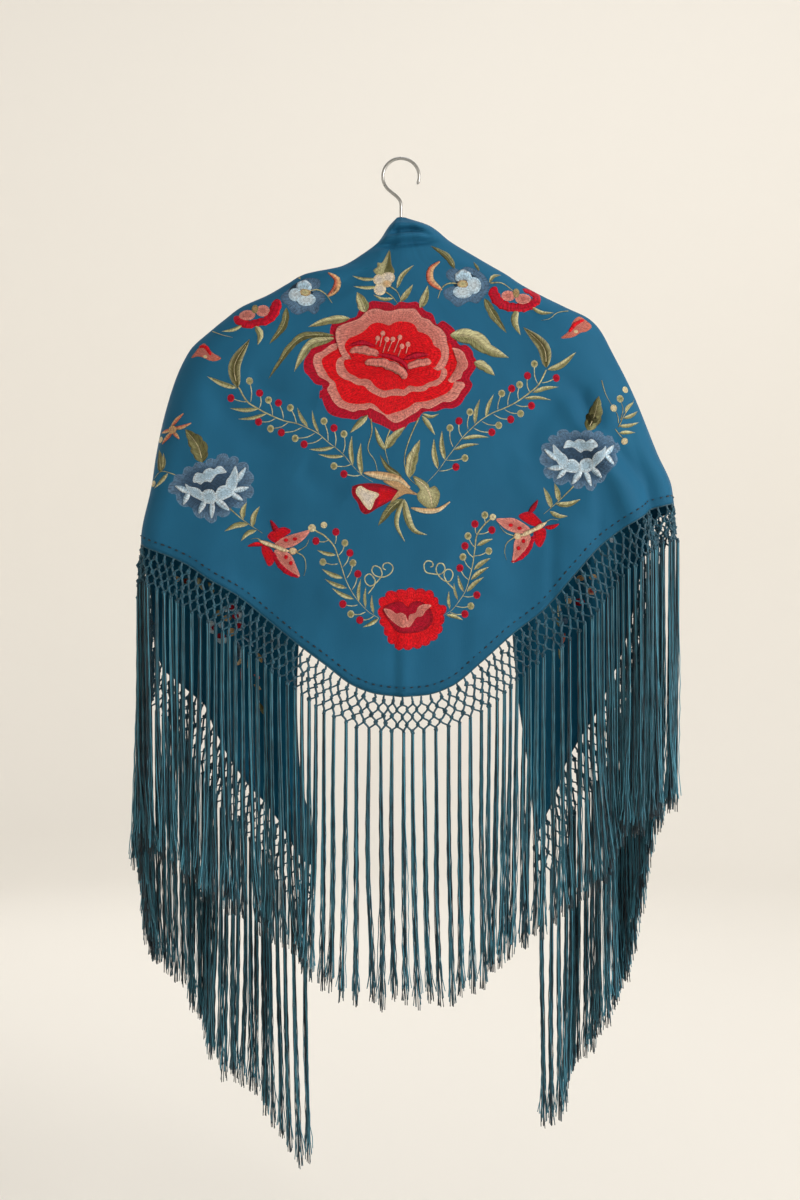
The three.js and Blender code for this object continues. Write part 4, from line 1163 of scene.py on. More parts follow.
sideSprigs = [
    ("leaf", 18, 4, "oliveDark", "olive", [(202, 462), (197, 445), (184, 428)]),
    ("leaf", 16, 4, "olive", "oliveDark", [(588, 430), (596, 414), (600, 395)]),
    # far left: a peach flower with white berries and plumes
    ("petal", 1, 4.5, "peach", "orange", [(182, 412), (176, 417), (169, 425)]),
    ("petal", 1, 4.5, "orange", "peach", [(190, 422), (180, 426), (169, 427)]),
    ("petal", 1, 4.5, "peach", "orange", [(158, 430), (164, 429), (170, 428)]),
    ("petal", 1, 5, "orange", "peach", [(160, 442), (165, 436), (171, 430)]),
    ("petal", 1, 4, "peach", "orange", [(178, 438), (175, 434), (171, 430)]),
    ("spot", 2, (4.2, 4.2), "peach", "tan", (171, 428)),
    ("spot", 1, (3.2, 3.4), "cream", "olivePale", (157, 437)),
    ("spot", 1, (3.2, 3.4), "cream", "olivePale", (152, 482)),
    ("stem", 1.3, [(174, 474), (161, 470), (152, 478)]),
    ("leaf", 8, 3, "olive", "oliveDark", [(160, 471), (159, 459), (156, 447)]),
    ("leaf", 5, [(161, 470), (163, 461), (162, 451)]),
    ("leaf", 5, [(167, 472), (161, 480), (154, 487)]),
    # far right: a berry sprig
    ("stem", 1.3, [(603, 379), (607, 393), (613, 404)]),
    ("stem", 1.4, [(620, 426), (627, 412), (638, 396)]),
    ("stem", 1.3, [(620, 422), (619, 414), (615, 408)]),
    ("stem", 1.2, [(622, 419), (625, 408), (622, 398)]),
    ("stem", 1.2, [(617, 428), (622, 434), (627, 439)]),
    ("spot", 1, (3.2, 3.4), "cream", "olivePale", (628, 387)),
    ("spot", 1, (3.6, 3.8), "olive", "olivePale", (622, 397)),
    ("spot", 1, (3.4, 3.6), "cream", "olivePale", (615, 407)),
    ("spot", 1, (3.2, 3.4), "cream", "olivePale", (627, 440)),
    ("leaf", 5, [(620, 425), (631, 424), (641, 420)]),
    ("leaf", 5, [(621, 432), (629, 431), (637, 431)]),
    ("leaf", 5, [(625, 417), (633, 414), (641, 408)]),
    ("leaf", 5, [(627, 411), (630, 405), (637, 399)]),
    # sprigs between the blue flowers and the butterflies
    ("stem", 1.6, [(229, 508), (243, 520), (262, 533)]),
    ("leaf", 7, [(243, 519), (242, 511), (246, 502)]),
    ("leaf", 7, [(252, 527), (253, 516), (259, 506)]),
    ("leaf", 7, [(248, 524), (236, 525), (224, 531)]),
    ("leaf", 6, [(256, 530), (247, 533), (240, 541)]),
    ("stem", 1.6, [(574, 486), (560, 500), (544, 514)]),
    ("leaf", 7, [(552, 508), (549, 498), (544, 487)]),
    ("leaf", 7, [(559, 501), (558, 492), (555, 483)]),
    ("leaf", 7, [(556, 504), (569, 504), (581, 499)]),
    ("leaf", 6, [(550, 511), (559, 516), (568, 516)]),
]

butterflies = [
    ("petal", 1, 7, "redDeep", "crimson", [(270, 520), (274, 527), (280, 537)]),
    ("patch", 1, "red", "crimson", [(267, 537), (270, 532), (276, 529), (284, 527), (291, 531), (284, 537),
        (276, 543)]),
    ("petal", 1, 5, "crimson", "red", [(247, 546), (255, 544), (263, 545)]),
    ("patch", 1, "red", "crimson", [(262, 545), (270, 548), (274, 556), (273, 563), (268, 566), (264, 559),
        (261, 551)]),
    ("band", 1, 5, [4, 6, 6, 3], "crimson", "red", [(273, 552), (279, 564), (288, 572), (299, 577)]),
    ("patch", 2, "salmon", "pinkPale", [(274, 545), (280, 539), (290, 535), (301, 532), (310, 530), (306, 537),
        (299, 543), (291, 547), (282, 548)]),
    ("patch", 2, "salmon", "pinkPale", [(274, 550), (284, 551), (291, 555), (295, 563), (300, 577), (291, 572),
        (283, 566), (277, 559)]),
    ("spot", 4, (2.4, 1.8), "red", "crimson", (286, 540)),
    ("spot", 4, (2.4, 1.8), "red", "crimson", (295, 539)),
    ("spot", 4, (2, 2.2), "red", "crimson", (286, 557)),
    ("spot", 4, (2, 2.2), "red", "crimson", (291, 563)),
    ("band", 3, 0, [2, 5, 4, 5, 3], "cream", "peach", [(258, 540), (266, 543), (275, 546), (282, 549), (289, 551)]),
    ("spot", 3, (4, 3.6), "cream", "peach", (293, 551)),
    ("stem", 1.3, [(296, 552), (306, 546), (309, 539)]),
    ("stem", 1.3, [(296, 552), (304, 557), (306, 567), (304, 576)]),
    ("stem", 1.1, [(262, 541), (256, 538), (250, 539)]),
    # the right one
    ("petal", 1, 6, "redDeep", "crimson", [(538, 500), (534, 507), (529, 514)]),
    ("patch", 1, "red", "crimson", [(519, 516), (525, 512), (532, 512), (538, 517), (543, 524), (535, 526),
        (526, 522)]),
    ("petal", 1, 5, "crimson", "red", [(559, 524), (552, 527), (545, 527)]),
    ("patch", 1, "red", "crimson", [(534, 533), (540, 528), (546, 529), (546, 538), (541, 547), (536, 543)]),
    ("band", 1, 5, [4, 6, 6, 3], "crimson", "red", [(534, 536), (529, 548), (522, 556), (512, 562)]),
    ("patch", 2, "salmon", "pinkPale", [(531, 529), (524, 523), (514, 518), (505, 518), (496, 519), (501, 525),
        (508, 530), (518, 533), (526, 533)]),
    ("patch", 2, "salmon", "pinkPale", [(530, 534), (521, 535), (515, 541), (514, 551), (513, 563), (521, 556),
        (527, 549), (531, 542)]),
    ("spot", 4, (2.4, 1.8), "red", "crimson", (511, 525)),
    ("spot", 4, (2.4, 1.8), "red", "crimson", (520, 528)),
    ("spot", 4, (2, 2.2), "red", "crimson", (524, 541)),
    ("spot", 4, (2, 2.2), "red", "crimson", (519, 548)),
    ("band", 3, 0, [2, 5, 4, 5, 3], "cream", "peach", [(547, 522), (540, 527), (532, 531), (526, 534), (521, 536)]),
    ("spot", 3, (3.8, 3.6), "cream", "peach", (518, 536)),
    ("stem", 1.3, [(515, 536), (505, 532), (499, 524)]),
    ("stem", 1.3, [(515, 537), (507, 543), (505, 552), (507, 560)]),
    ("stem", 1.1, [(546, 522), (552, 519), (559, 520)]),
]


# the small rose
smallRose = {
    "centre": (412, 619),
    "outline": [(0, 32), (13, 35), (22, 36), (31, 31), (40, 33), (55, 34), (79, 31), (107, 31), (130, 36), (147, 38),
        (164, 35), (185, 32), (201, 30), (211, 31), (230, 33), (245, 34), (258, 31), (278, 30), (300, 30), (333, 32)],
    "heart": [(408, 607), (402, 602), (395, 602), (387, 605), (383, 611), (390, 623), (398, 632), (410, 633),
        (425, 630), (433, 620), (430, 608), (424, 603), (417, 601), (411, 603)],
    "leftWing": [(383.7, 609), (391, 610), (396.6, 613.7), (401, 612.6), (405.4, 615), (408, 621), (406.4, 626.5),
        (402, 627.4), (394.8, 623), (388.6, 617.4)],
    "rightWing": [(408, 620), (409, 615), (413.4, 613.6), (416, 612), (418.3, 607), (424, 604.4), (431.6, 605.4),
        (425.4, 611), (422.3, 616), (417, 617), (413.6, 621), (410.4, 626), (406.3, 627)],
}


def sewSmallRose(work):
    centre, outline = smallRose["centre"], smallRose["outline"]
    work.blob(centre, (1.04, 1.04), "red", "crimson", lobes=19, lobeDepth=0.1, turn=0.2, lift=0.8, steps=152,
        outline=outline, tone=14)
    work.blob(centre, (0.8, 0.78), "red", "crimson", lobes=13, lobeDepth=0.12, turn=0.5, level=1, lift=0.6, steps=104,
        outline=outline, tone=14)
    work.patch(smallRose["heart"], "crimson", "redDeep", level=3, lift=0.4, tone=8)
    for wing in ("leftWing", "rightWing"):
        work.patch(smallRose[wing], "salmon", "pinkPale", level=4, lift=0.6, tone=6)


back = Needlework("back")
sewRows(back, upperFlowers)
sewBigRose(back)
sewRows(back, rosebud)
flowersUpper, reverseUpper = back.finish("flowersUpper"), back.finish("reverseUpper", True)
lower = Needlework("back")
sewSprays(lower)
sewLargeBlue(lower, blueFlower["middle"])
sewLargeBlue(lower, (583, 458.5), 0.31, 0.97, -1)
sewRows(lower, sideSprigs)
sewRows(lower, butterflies)
sewSmallRose(lower)
flowersLower, reverseLower = lower.finish("flowersLower"), lower.finish("reverseLower", True)
print("back flowers sewn", len(flowersUpper.data.polygons), len(flowersLower.data.polygons))


# the two ends: flowers outside, the reverse of the same work inside
ends = {
    "left": {"flower": (228, 628), "stem": [(214, 600), (226, 622), (240, 650), (256, 676), (262, 704)],
        "small": (252, 676)},
    "right": {"flower": (582, 596), "stem": [(590, 570), (584, 594), (574, 622), (566, 650), (560, 676)],
        "small": (568, 650)},
}


def sewEnd(work, end):
    x, y = end["flower"]
    work.ribbon(end["stem"], 2, "olive", "stem", across=2, lift=0.3)
    line = smoothPath(end["stem"], 9)
    for k in range(1, 8):
        for side in (-1, 1):
            tip = line[k] + np.array([side * 11, 6 + 3 * (k % 2)])
            work.leaf(tuple(line[k]), tuple(tip), 5, 0.1 * side, "oliveDark", "olive", lift=0.3)
    for reach, height, colour, other, lobes in ((15, 0.4, "crimson", "red", 8), (9, 0.3, "salmon", "pinkPale", 5),
            (4, 0.3, "slate", None, 0)):
        work.blob((x, y), (reach, reach), colour, other, lobes=lobes, lobeDepth=0.2, level=0 if lobes == 8 else 1,
            lift=height, steps=40)
    x, y = end["small"]
    work.blob((x, y), (9, 9), "slate", "slatePale", lobes=6, lobeDepth=0.2, lift=0.4, steps=36)
    for dx, dy in ((-9, -16), (11, -10), (-10, 12), (9, 15)):
        work.blob((x + dx, y + dy), (3, 3.3), "crimson", lift=0.5, steps=12)


reverseRows = [
    ("spot", 0, (5, 4.4), "frost", "ice", (233, 607)), ("spot", 1, (3.2, 3), "crimson", "redDeep", (232, 607)),
    ("spot", 0, (5.4, 4.8), "frost", "ice", (238, 616)), ("spot", 1, (3.6, 3.2), "crimson", "redDeep", (236, 616)),
    ("spot", 0, (5.4, 5), "frost", "ice", (240, 626)), ("spot", 1, (3.6, 3.6), "crimson", "redDeep", (239, 626)),
    ("spot", 0, (5, 3.6), "frost", "ice", (210, 624)), ("spot", 0, (5, 4.4), "frost", "ice", (213, 630)),
    ("spot", 1, (3.4, 3), "crimson", "redDeep", (214, 628)), ("spot", 0, (6, 4.4), "frost", "ice", (223, 640)),
    ("spot", 1, (5, 3), "crimson", "redDeep", (222, 636)), ("spot", 0, (4, 3), "tan", "peach", (228, 618)),
    ("spot", 0, (3.6, 3.4), "frost", "ice", (222, 625)), ("spot", 0, (4, 4.4), "peach", "tan", (232, 632)),
    ("spot", 0, (3, 3.4), "tan", "olive", (219, 613)), ("spot", 0, (3.4, 3), "frost", "ice", (227, 609)),
    ("petal", 0, 7, "slate", "ice", [(236, 638), (238, 648), (240, 660)]),
    ("petal", 0, 4, "ice", "slatePale", [(242, 637), (247, 640), (252, 647)]),
    ("petal", 0, 4, "orange", "tan", [(241, 668), (242, 675), (242, 683)]),
    ("petal", 0, 5, "peach", "cream", [(234, 664), (239, 663), (241, 658)]),
    ("petal", 0, 4, "tan", "olive", [(247, 652), (248, 660), (247, 670)]),
    ("petal", 0, 6, "olivePale", "tan", [(254, 653), (258, 657), (261, 663)]),
    ("petal", 0, 4, "orange", "salmon", [(252, 675), (255, 677), (259, 679)]),
    ("petal", 0, 5, "tan", "olivePale", [(252, 685), (256, 688), (260, 690)]),
    ("petal", 0, 4, "frost", "ice", [(254, 697), (256, 701), (258, 704)]),
    ("petal", 0, 6, "olive", "oliveDark", [(257, 703), (260, 708), (263, 715)]),
    ("petal", 0, 6, "olivePale", "tan", [(198, 577), (200, 583), (202, 590)]),
    ("petal", 0, 6, "olivePale", "tan", [(208, 582), (211, 587), (214, 593)]),
    ("spot", 0, (3.4, 3.4), "peach", "cream", (184, 579)), ("spot", 0, (3, 3), "redDeep", "oliveDark", (191, 581)),
    # the right end
    ("spot", 0, (4.6, 4), "crimson", "cream", (591, 591)), ("spot", 0, (5.4, 4), "crimson", "redDeep", (580, 602)),
    ("spot", 0, (3.4, 4), "peach", "cream", (570, 600)), ("spot", 0, (4, 3), "tan", "peach", (581, 578)),
    ("spot", 0, (4, 3), "peach", "tan", (592, 577)), ("petal", 0, 6, "olivePale", "tan",
        [(559, 605), (561, 611), (560, 617)]),
    ("petal", 0, 5, "olive", "oliveDark", [(556, 617), (559, 621), (561, 627)]), ("spot", 0, (3, 4), "slatePale",
        "slate", (567, 621)),
    ("petal", 0, 5, "redDeep", "orange", [(567, 633), (565, 640), (563, 646)]),
    ("petal", 0, 5, "olive", "olivePale", [(560, 649), (562, 655), (563, 661)]),
    ("petal", 0, 5, "olive", "olivePale", [(565, 661), (564, 667), (562, 673)]), ("spot", 0, (3, 2.6), "frost", "ice",
        (612, 540)),
]

endsOutside, endsInside = Needlework("frontOutside"), Needlework("frontInside")
for end in (ends["left"], ends["right"]):
    sewEnd(endsOutside, end)
sewRows(endsInside, reverseRows)
flowersOutside = endsOutside.finish("flowersOnEnds")
flowersInside = endsInside.finish("flowersReverse")
print("ends sewn")


# hem line, net and strands
fringe = {
    "pitch": 10.2,
    "netRows": [(0, 0.5), (6.5, 0.5), (14.5, 0), (22.5, 0.5), (30.5, 0), (38.5, 0.5)],  # mm down, offset in pitches
    "netDropLimit": 66,
    "netWidth": 38,
    "steep": (0.82, 0.98),  # slope of the hem where the net begins to hang straight down, and where it does
    "plumb": 0.3,  # share of straight down elsewhere
    "freeEnd": 50,
    "evenedOver": 24,
    "cordApart": (0.42, 0.12),  # the two cords of a pair, from their middle
    "knotVariation": 0.16,
    "cordRadius": 0.82,
    "knotRadius": 2.4,
    "knotJitter": (0.55, 0.7, 0.6),  # along the hem, outward and down
    "cordBow": 0.45,
    "strandLength": 288,
    "lengthJitter": 4,
    "sway": (22, 5, 1.8),  # to the side: how fast it turns round the hem, mm, jitter
    "lean": (31, 1.3, 1.1),  # outward: the same
    "wobble": 1.3,
    "strandPoints": 21,
    "sideShare": 0.45,  # of the way round, where the back's strands end
    "threads": 15,
    "threadRadius": 0.57,
    "bundle": {  # how the threads of a strand lie, in metres but for the twists
        "Gather": 0.0016,
        "Spread": 0.0021,
        "Fray": 0.0025,
        "Stray": 0.0018,
        "Twists": 0.35,
        "Uneven": 0.009,
        "Crinkle": 0.0007,
    },
    "seed": 11,
}
steps = 6000
hemShares = np.linspace(-1, 1, steps + 1)
hemPoints, hemOut = clothFrame(hemShares, hemHeight(hemShares))
hemPoints = hemPoints - hemOut * shawl["wall"] / 2
hemLengths = np.concatenate([[0], np.cumsum(np.linalg.norm(np.diff(hemPoints, axis=0), axis=1))])
strandCount = int(round(hemLengths[-1] / fringe["pitch"]))
pitch = hemLengths[-1] / strandCount


def read(table, length):  # a table along the hem, at a length from the left end
    return np.stack([np.interp(length, hemLengths, table[:, k]) for k in range(3)], -1)


def hemAt(length):  # point, outward, along and slant
    length = np.clip(np.asarray(length, float), 0, hemLengths[-1])
    out = unit(read(hemOut, length) * (1, 1, 0))
    probe = 6
    along = unit(read(hemPoints, length + probe) - read(hemPoints, length - probe))
    slant = 1 / np.maximum(np.hypot(along[..., 0], along[..., 1]), 0.3)
    return read(hemPoints, length), out, along, slant


chance = np.random.default_rng(fringe["seed"])


def hangWays():  # which way the net hangs: square to the hem, turned down where that is steep and at the free ends
    point, out, along, slant = hemAt(hemLengths)
    square = unit(np.cross(along, out))
    fromSlope, toSlope = fringe["steep"]
    steep = smoothStep((np.abs(along[:, 2]) - fromSlope) / (toSlope - fromSlope))
    toEnd = np.minimum(hemLengths, hemLengths[-1] - hemLengths)
    plumb = fringe["plumb"]
    down = np.clip(plumb + (1 - plumb) * np.maximum(steep, smoothStep(1 - toEnd / fringe["freeEnd"])), 0, 1)
    reach = 1 + (np.minimum(slant, fringe["netDropLimit"] / fringe["netWidth"]) - 1) * down
    way = square * (1 - down)[:, None] + np.array([0, 0, -1]) * down[:, None]
    size = int(fringe["evenedOver"] / (hemLengths[-1] / steps))
    window = np.ones(2 * size + 1) / (2 * size + 1)
    padded = np.pad(way, ((size, size), (0, 0)), "edge")
    way = np.stack([np.convolve(padded[:, k], window, "valid") for k in range(3)], -1)
    reach = np.convolve(np.pad(reach, size, "edge"), window, "valid")
    return unit(way), reach


hangWay, hangReach = hangWays()


def hangAt(length):
    return unit(read(hangWay, length)), np.interp(length, hemLengths, hangReach)


def knotGrid():
    rows = []
    jitter = fringe["knotJitter"]
    for k, (down, offset) in enumerate(fringe["netRows"]):
        count = strandCount if offset else strandCount + 1
        length = (np.arange(count) + offset) * pitch
        point, out, along, slant = hemAt(length)
        way, reach = hangAt(length)
        point = point + way * (down * reach)[:, None]
        if k:
            alongBy, outBy, downBy = (chance.normal(0, size, (count, 1)) for size in jitter)
            point = point + along * alongBy + out * outBy + way * downBy
        rows.append(point)
    return rows


knotRows = knotGrid()


def cordLinks():  # each link leaves its knot downwards, so the gaps are six-sided
    links = []
    rows = fringe["netRows"]
    for k in range(len(rows) - 1):
        upper, lower = knotRows[k], knotRows[k + 1]
        if rows[k][1] == rows[k + 1][1]:
            pairs = [(i, i) for i in range(len(upper))]
        else:
            shift = 0 if rows[k][1] else -1
            pairs = [(i, j) for i in range(len(upper)) for j in (i + shift, i + shift + 1) if 0 <= j < len(lower)]
        for i, j in pairs:
            start, end = upper[i], lower[j]
            way = hangAt((i + rows[k][1]) * pitch)[0]
            bow = chance.normal(0, fringe["cordBow"], 3)
            high = start * 0.78 + end * 0.22 + way * 0.9 + bow * 0.5
            low = start * 0.25 + end * 0.75 - way * 0.7 + bow
            links.append([start, high, low, end])
    return links


def polylines(name, lines, phases=None):  # a mesh of loose edges, one chain for each line
    points, edges, values = [], [], []
    for n, line in enumerate(lines):
        start = len(points)
        points.extend(line)
        edges.extend((start + i, start + i + 1) for i in range(len(line) - 1))
        values.extend([0.0 if phases is None else phases[n]] * len(line))
    mesh = bpy.data.meshes.new(name)
    mesh.from_pydata(np.asarray(points) * 0.001, edges, [])
    writeValues(mesh, "phase", "FLOAT", values)
    return intoScene(name, mesh)


class GeometryTree(NodeKit):
    # a geometry tree with named inputs
    def __init__(self, name, inputs):
        super().__init__(bpy.data.node_groups.new(name, "GeometryNodeTree"))
        self.tree.interface.new_socket("Geometry", in_out="INPUT", socket_type="NodeSocketGeometry")
        self.tree.interface.new_socket("Geometry", in_out="OUTPUT", socket_type="NodeSocketGeometry")
        self.keys = {}
        for key, (kind, value) in inputs.items():
            socket = self.tree.interface.new_socket(key, in_out="INPUT", socket_type=kind)
            self.keys[key] = (socket.identifier, value)
        self.source = self.node("NodeGroupInput")
        self.target = self.node("NodeGroupOutput")

    def input(self, key):
        return self.out(self.source, key)

    def close(self, geometry, finish):
        real = self.get("GeometryNodeRealizeInstances", None, {"Geometry": geometry})
        finished = self.node("GeometryNodeSetMaterial", None, {"Geometry": real, "Material": finish})
        self.tree.links.new(finished.outputs[0], self.target.inputs[0])


def grow(base, tree, name):  # runs the tree on the base and keeps the result as a plain mesh
    modifier = base.modifiers.new("grow", "NODES")
    modifier.node_group = tree.tree
    for key, (identifier, value) in tree.keys.items():
        modifier[identifier] = value
    bpy.context.view_layer.update()
    evaluated = base.evaluated_get(bpy.context.evaluated_depsgraph_get())
    mesh = bpy.data.meshes.new_from_object(evaluated)
    base.modifiers.remove(modifier)
    mesh.name = name
    mesh.polygons.foreach_set("use_smooth", np.ones(len(mesh.polygons), bool))
    bpy.data.objects.remove(base)
    return intoScene(name, mesh)


def sweep(tree, curve, sides, finish):  # a round cord along each curve
    values = {"Resolution": sides, "Radius": tree.input("Radius")}
    profile = tree.get("GeometryNodeCurvePrimitiveCircle", None, values)
    mesh = tree.get("GeometryNodeCurveToMesh", None, {"Curve": curve, "Profile Curve": profile, "Fill Caps": True})
    tree.close(mesh, finish)
    return tree


def cordTree(radius):  # round cords along the edges of the base
    tree = GeometryTree("cords", {"Radius": ("NodeSocketFloat", radius * 0.001), "Sides": ("NodeSocketInt", 5)})
    curve = tree.get("GeometryNodeMeshToCurve", None, {"Mesh": tree.input("Geometry")})
    return sweep(tree, curve, tree.input("Sides"), fringeFinish)


def strandTree():  # a bundle of threads along each chain of edges, loose at its end
    tree = GeometryTree("strands", {
        "Threads": ("NodeSocketInt", fringe["threads"]),
        "Radius": ("NodeSocketFloat", fringe["threadRadius"] * 0.001),
        **{key: ("NodeSocketFloat", value) for key, value in fringe["bundle"].items()},
    })
    curve = tree.get("GeometryNodeMeshToCurve", None, {"Mesh": tree.input("Geometry")})
    copied = tree.node("GeometryNodeDuplicateElements", {"domain": "SPLINE"},
        {"Geometry": curve, "Amount": tree.input("Threads")})
    number = tree.out(copied, "Duplicate Index")
    factor = tree.get("GeometryNodeSplineParameter", key="Factor")
    phase = tree.get("GeometryNodeInputNamedAttribute", {"data_type": "FLOAT"}, {"Name": "phase"}, key="Attribute")
    own = tree.math("SINE", number * 7.31 + phase * 5.0)
    drift = tree.math("SINE", factor * (5.0 + own * 3.0) + number * 2.4 + phase * 3.0)
    angle = number * 2.39996 + phase + factor * tree.input("Twists") * (2 * math.pi) + drift * factor * 0.7
    crinkle = tree.math("SINE", factor * 58.0 + number * 2.1 + phase * 4.0) * tree.input("Crinkle") * factor
    loose = tree.math("MULTIPLY", factor - 0.84, 6.3, clamp=True)
    ring = tree.math("SQRT", number / fringe["threads"])
    stray = tree.math("GREATER_THAN", number, fringe["threads"] - 1.5) * tree.math("GREATER_THAN", own, 0.1)
    radius = ring * (tree.input("Gather") + tree.input("Spread") * factor)
    radius = radius + tree.input("Fray") * loose * loose * (own * 0.5 + 0.55) + crinkle
    radius = radius + stray * tree.input("Stray") * factor * (drift * 0.6 + 0.6)
    z = own * tree.input("Uneven") * factor * factor * factor
    x, y = tree.math("COSINE", angle) * radius, tree.math("SINE", angle) * radius
    offset = tree.get("ShaderNodeCombineXYZ", None, {0: x, 1: y, 2: z})
    # each thread's tone: random, and through the strand finish's pale end partly a painted highlight
    toned = tree.get("GeometryNodeStoreNamedAttribute", {"data_type": "FLOAT", "domain": "POINT"}, {
        "Geometry": tree.out(copied, "Geometry"), "Name": "tone", "Value": own * 0.5 + 0.5,
    })
    moved = tree.get("GeometryNodeSetPosition", None, {"Geometry": toned, "Offset": offset})
    return sweep(tree, moved, 3, strandFinish)


def instanceTree(name, shape, finish, scaleJitter, turned, seed):  # copies of a small shape on the base's points
    tree = GeometryTree(name, {"Shape": ("NodeSocketObject", shape), "Size": ("NodeSocketFloat", 1.0),
        "Seed": ("NodeSocketInt", seed)})
    info = tree.get("GeometryNodeObjectInfo", {"transform_space": "ORIGINAL"}, {"Object": tree.input("Shape")},
        key="Geometry")
    size = tree.get("FunctionNodeRandomValue", {"data_type": "FLOAT"}, {2: 1 - scaleJitter, 3: 1 + scaleJitter,
        "Seed": tree.input("Seed")}, key=1)
    if turned:
        along = tree.get("GeometryNodeInputNamedAttribute", {"data_type": "FLOAT_VECTOR"}, {"Name": "along"},
            key="Attribute")
        turn = tree.get("FunctionNodeAlignRotationToVector", {"axis": "X"}, {"Vector": along})
    else:
        turn = tree.get("FunctionNodeRandomValue", {"data_type": "FLOAT_VECTOR"},
            {0: (-0.4, -0.4, -3.1), 1: (0.4, 0.4, 3.1), "Seed": tree.input("Seed")}, key=0)
    placed = tree.get("GeometryNodeInstanceOnPoints", None, {
        "Points": tree.input("Geometry"), "Instance": info, "Rotation": turn, "Scale": size * tree.input("Size"),
    })
    tree.close(placed, finish)
    return tree


def tubeMesh(name, path, radii, sides, closed=False, finish=None):  # a tube along points in mm
    path = np.asarray(path, float)
    if closed:
        along = unit(np.roll(path, -1, 0) - np.roll(path, 1, 0))
    else:
        along = unit(np.gradient(path, axis=0))
    reference = np.array([0.0, 1.0, 0.001])
    first = unit(np.cross(along, reference))
    second = np.cross(along, first)
    turn = np.linspace(0, 2 * math.pi, sides, endpoint=False)
    radii = np.broadcast_to(np.asarray(radii, float), (len(path),))
    ring = np.cos(turn)[None, :, None] * first[:, None] + np.sin(turn)[None, :, None] * second[:, None]
    points = (path[:, None] + ring * radii[:, None, None]).reshape(-1, 3)
    return addMesh(name, points, ringFaces(len(path), sides, closed), finish)


def scatter(name, points, shape, finish, jitter, seed, along=None):  # the shape at every point, then joined
    mesh = bpy.data.meshes.new(name + "Places")
    mesh.from_pydata(np.asarray(points) * 0.001, [], [])
    if along is not None:
        writeValues(mesh, "along", "FLOAT_VECTOR", along)
    tree = instanceTree(name, shape, finish, jitter, along is not None, seed)
    made = grow(intoScene(name + "Places", mesh), tree, name)
    bpy.data.objects.remove(shape)
    return made


def knotShape():  # an overhand knot drawn tight
    t = np.linspace(0, 2 * math.pi, 14, endpoint=False)
    size = fringe["knotRadius"] * 0.33
    x, z = (2 + np.cos(3 * t)) * np.cos(2 * t), (2 + np.cos(3 * t)) * np.sin(2 * t)
    path = np.stack([x * size * 0.8, np.sin(3 * t) * size * 1.1, z * size * 1.05], -1)
    return tubeMesh("knotShape", path, 1.05, 5, closed=True)


def makeNet():
    lines = []
    for link in cordLinks():
        for side in (-1, 1):
            shift = np.array([*fringe["cordApart"], 0.0]) * side
            lines.append([link[0], link[1] + shift, link[2] + shift, link[3]])
    cords = grow(polylines("netCordLines", lines), cordTree(fringe["cordRadius"]), "netCords")
    places, variation = np.concatenate(knotRows[1:]), fringe["knotVariation"]
    return cords, scatter("netKnots", places, knotShape(), fringeFinish, variation, 5)


netCords, netKnots = makeNet()
print("net tied", len(netCords.data.polygons), len(netKnots.data.polygons))


def makeStrands():
    roots = knotRows[-1]
    lengths = (np.arange(strandCount) + 0.5) * pitch
    point, out, along, slant = hemAt(lengths)
    level = unit(np.stack([along[:, 0], along[:, 1], 0 * lengths], -1))
    groups = {"fringeLeft": [], "fringeBack": [], "fringeRight": []}
    phases = {key: [] for key in groups}
    shares = np.interp(lengths, hemLengths, hemShares)
    swayTurns, swayReach, swayJitter = fringe["sway"]
    leanTurns, leanReach, leanJitter = fringe["lean"]
    for i in range(strandCount):
        long = fringe["strandLength"] + chance.normal(0, fringe["lengthJitter"])
        sway = math.sin(shares[i] * swayTurns + 0.6) * swayReach + chance.normal(0, swayJitter)
        lean = math.sin(shares[i] * leanTurns) * leanReach + chance.normal(0, leanJitter)
        wobble = chance.normal(0, fringe["wobble"], 2)
        turn = chance.uniform(0, 6.28)
        line = []
        for t in np.linspace(0, 1, fringe["strandPoints"]):
            side = sway * t * t + wobble[0] * math.sin(t * 5 + turn) * t
            deep = lean * t + wobble[1] * math.sin(t * 4 + turn) * t
            line.append(roots[i] + level[i] * side + out[i] * deep - np.array([0, 0, long * t]))
        far = fringe["sideShare"]
        key = "fringeLeft" if shares[i] < -far else "fringeRight" if shares[i] > far else "fringeBack"
        groups[key].append(line)
        phases[key].append(chance.uniform(0, 6.28))
    return [grow(polylines(key + "Lines", groups[key], phases[key]), strandTree(), key) for key in groups]


fringeLeft, fringeBack, fringeRight = makeStrands()
print("strands hung", [len(o.data.polygons) for o in (fringeLeft, fringeBack, fringeRight)])


# sewn edges
def stitchShape():
    return tubeMesh("stitchShape", [(-1.8, 0, 0), (-1, 0, 0), (1, 0, 0), (1.8, 0, 0)], [0.35, 0.8, 0.8, 0.35], 5)


stitches = {"inset": 9, "step": 8.4, "jitter": 0.25, "seed": 3}


def makeEdges():
    lengths = np.arange(8, hemLengths[-1] - 8, stitches["step"])
    shares = np.interp(lengths, hemLengths, hemShares)
    point, out, along, slant = hemAt(lengths)
    heights = hemHeight(shares) + stitches["inset"] * np.minimum(slant, 2.2)
    spots, normals = clothFrame(shares, heights)
    sewn = scatter("hemStitches", spots + normals * 0.1, stitchShape(), stitchHoleShadeFinish, stitches["jitter"],
        stitches["seed"], along)
    lines = [hemPoints[::12]]
    for side in (-1.0, 1.0):
        heights = np.linspace(-70, float(hemHeight(side)), 160)
        edge, outward = clothFrame(np.full(160, side * 0.999), heights)
        lines.append(edge - outward * shawl["wall"] / 2)
    return sewn, grow(polylines("edgeLines", lines), cordTree(0.8), "rolledEdges")


hemStitches, rolledEdges = makeEdges()
print("edges sewn")

